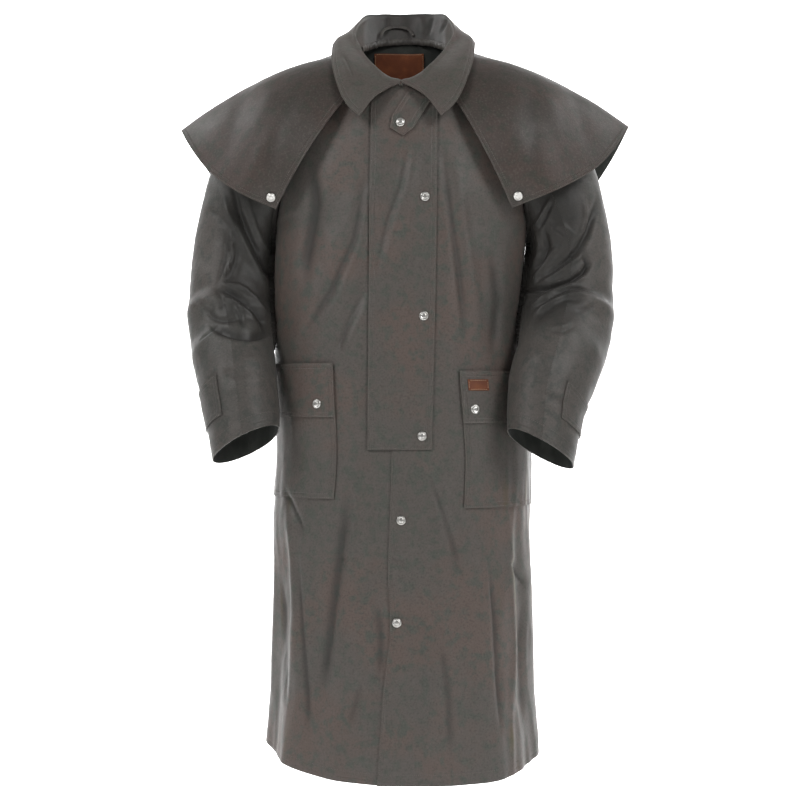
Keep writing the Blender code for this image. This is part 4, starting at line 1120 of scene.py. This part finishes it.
def makeHanger():
    co = nodePoints("hanger_loop")
    low, high = co.min(0), co.max(0)
    middle, half = (low[0] + high[0]) / 2, (high[0] - low[0]) / 2
    angles = np.arctan2((co[:, 2] - low[2]) / (high[2] - low[2]), (middle - co[:, 0]) / half)
    centres = []
    for turn in np.linspace(0.02, math.pi - 0.02, hangerLook["samples"]):
        centres.append(co[np.argsort(np.abs(angles - turn))[:hangerLook["nearest"]]].mean(0))
    centres = np.array(centres)
    places = np.linspace(0, 1, hangerLook["steps"] + 1)
    path = np.array([np.interp(places, np.linspace(0, 1, len(centres)), centres[:, k]) for k in range(3)]).T
    for _ in range(hangerLook["smoothing"]):
        path[1:-1] = (path[:-2] + 2 * path[1:-1] + path[2:]) / 4
    ahead = np.gradient(path, axis=0)
    ahead /= np.linalg.norm(ahead, axis=1)[:, None]
    outward = np.array(hangerLook["facing"])
    shape = bmesh.new()
    rings = []
    for point, step in zip(path, ahead):
        across = np.cross(step, outward)
        across /= np.linalg.norm(across)
        over = np.cross(across, step)
        ring = []
        for k in range(hangerLook["sides"]):
            turn = 2 * math.pi * k / hangerLook["sides"]
            aside = across * math.cos(turn) * hangerLook["across"]
            ring.append(shape.verts.new(point + aside + over * math.sin(turn) * hangerLook["thick"]))
        rings.append(ring)
    for first, second in zip(rings[:-1], rings[1:]):
        for k in range(len(first)):
            n = (k + 1) % len(first)
            shape.faces.new((first[k], first[n], second[n], second[k]))
    shape.faces.new(rings[0])
    shape.faces.new(rings[-1])
    bmesh.ops.recalc_face_normals(shape, faces=shape.faces[:])
    made = bpy.data.meshes.new("hanger_strap")
    shape.to_mesh(made)
    shape.free()
    made.materials.append(finishes["collar"])
    made.shade_smooth()
    made.set_sharp_from_angle(angle=math.radians(50))
    piece = placed("hanger_strap", made)
    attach(piece, "root")
    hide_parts("hanger_loop")
    return piece


makeHanger()
print("hanger loop is on")

stageLook = {
    "floor": -1.42, "behind": 1.6, "radius": 0.7, "width": 9.0, "front": -4.0, "height": 3.4, "steps": 12,
    "white": (0.86, 0.86, 0.86, 1), "glow": 0.55,
}


def makeStage():  # floor that sweeps up into a backdrop
    shape = bmesh.new()
    floor, radius, half = stageLook["floor"], stageLook["radius"], stageLook["width"] / 2
    profile = [(stageLook["front"], floor), (stageLook["behind"], floor)]
    for k in range(1, stageLook["steps"] + 1):
        turn = math.pi / 2 * k / stageLook["steps"]
        profile.append((stageLook["behind"] + radius * math.sin(turn), floor + radius * (1 - math.cos(turn))))
    profile.append((profile[-1][0], stageLook["height"]))
    rows = [[shape.verts.new((x, y, z)) for y, z in profile] for x in (-half, half)]
    for k in range(len(profile) - 1):
        shape.faces.new((rows[0][k], rows[1][k], rows[1][k + 1], rows[0][k + 1]))
    mesh = bpy.data.meshes.new("studio_sweep")
    shape.to_mesh(mesh)
    shape.free()
    mesh.shade_smooth()
    glow = {"Emission Color": (1, 1, 1, 1), "Emission Strength": stageLook["glow"]}
    material = newFinish("studio_white", {"Base Color": stageLook["white"], "Roughness": 0.9, **glow})[0]
    mesh.materials.append(material)
    placed("studio_sweep", mesh)


makeStage()

worldGlow = 0.18
lightLook = {
    "left": {"place": (-2.4, -2.6, 1.7), "aim": (0, 0, -0.55), "size": 1.5, "power": 50, "spread": 180},
    "right": {"place": (2.4, -2.7, 1.7), "aim": (0, 0, -0.6), "size": 1.5, "power": 57, "spread": 180},
}
backdropLight = {"size": 1.2, "power": 60, "spread": 100}
for name, out in (("backdrop_left", -1), ("backdrop_right", 1)):
    lightLook[name] = {"place": (out * 1.9, 0.7, 1.2), "aim": (out * -0.2, 2.3, -0.6), **backdropLight}
for name, look in lightLook.items():
    light = bpy.data.lights.new(name, "AREA")
    light.shape = "DISK"
    light.size = look["size"]
    light.energy = look["power"]
    light.spread = math.radians(look["spread"])
    lamp = placed(name, light)
    lamp.location = look["place"]
    lamp.rotation_euler = (Vector(look["place"]) - Vector(look["aim"])).to_track_quat("Z", "Y").to_euler()
world = bpy.data.worlds.new("studio")
world.use_nodes = True
sky = world.node_tree.nodes["Background"]
sky.inputs["Color"].default_value = (1, 1, 1, 1)
sky.inputs["Strength"].default_value = worldGlow
bpy.context.scene.world = world
bpy.context.scene.view_settings.view_transform = "Standard"

cameraLook = {
    "aim": (-0.0068, 0.0, -0.600), "distance": 2.8, "turn": math.radians(2.5), "seen": 1.36, "sensor": 36,
}
camera = bpy.data.cameras.new("camera")
camera.sensor_width = cameraLook["sensor"]
camera.lens = cameraLook["sensor"] * cameraLook["distance"] / cameraLook["seen"]
viewer = placed("camera", camera)
back = Vector((math.sin(cameraLook["turn"]), -math.cos(cameraLook["turn"]), 0))
viewer.location = Vector(cameraLook["aim"]) + back * cameraLook["distance"]
viewer.rotation_euler = back.to_track_quat("Z", "Y").to_euler()
bpy.context.scene.camera = viewer
print("studio is lit")
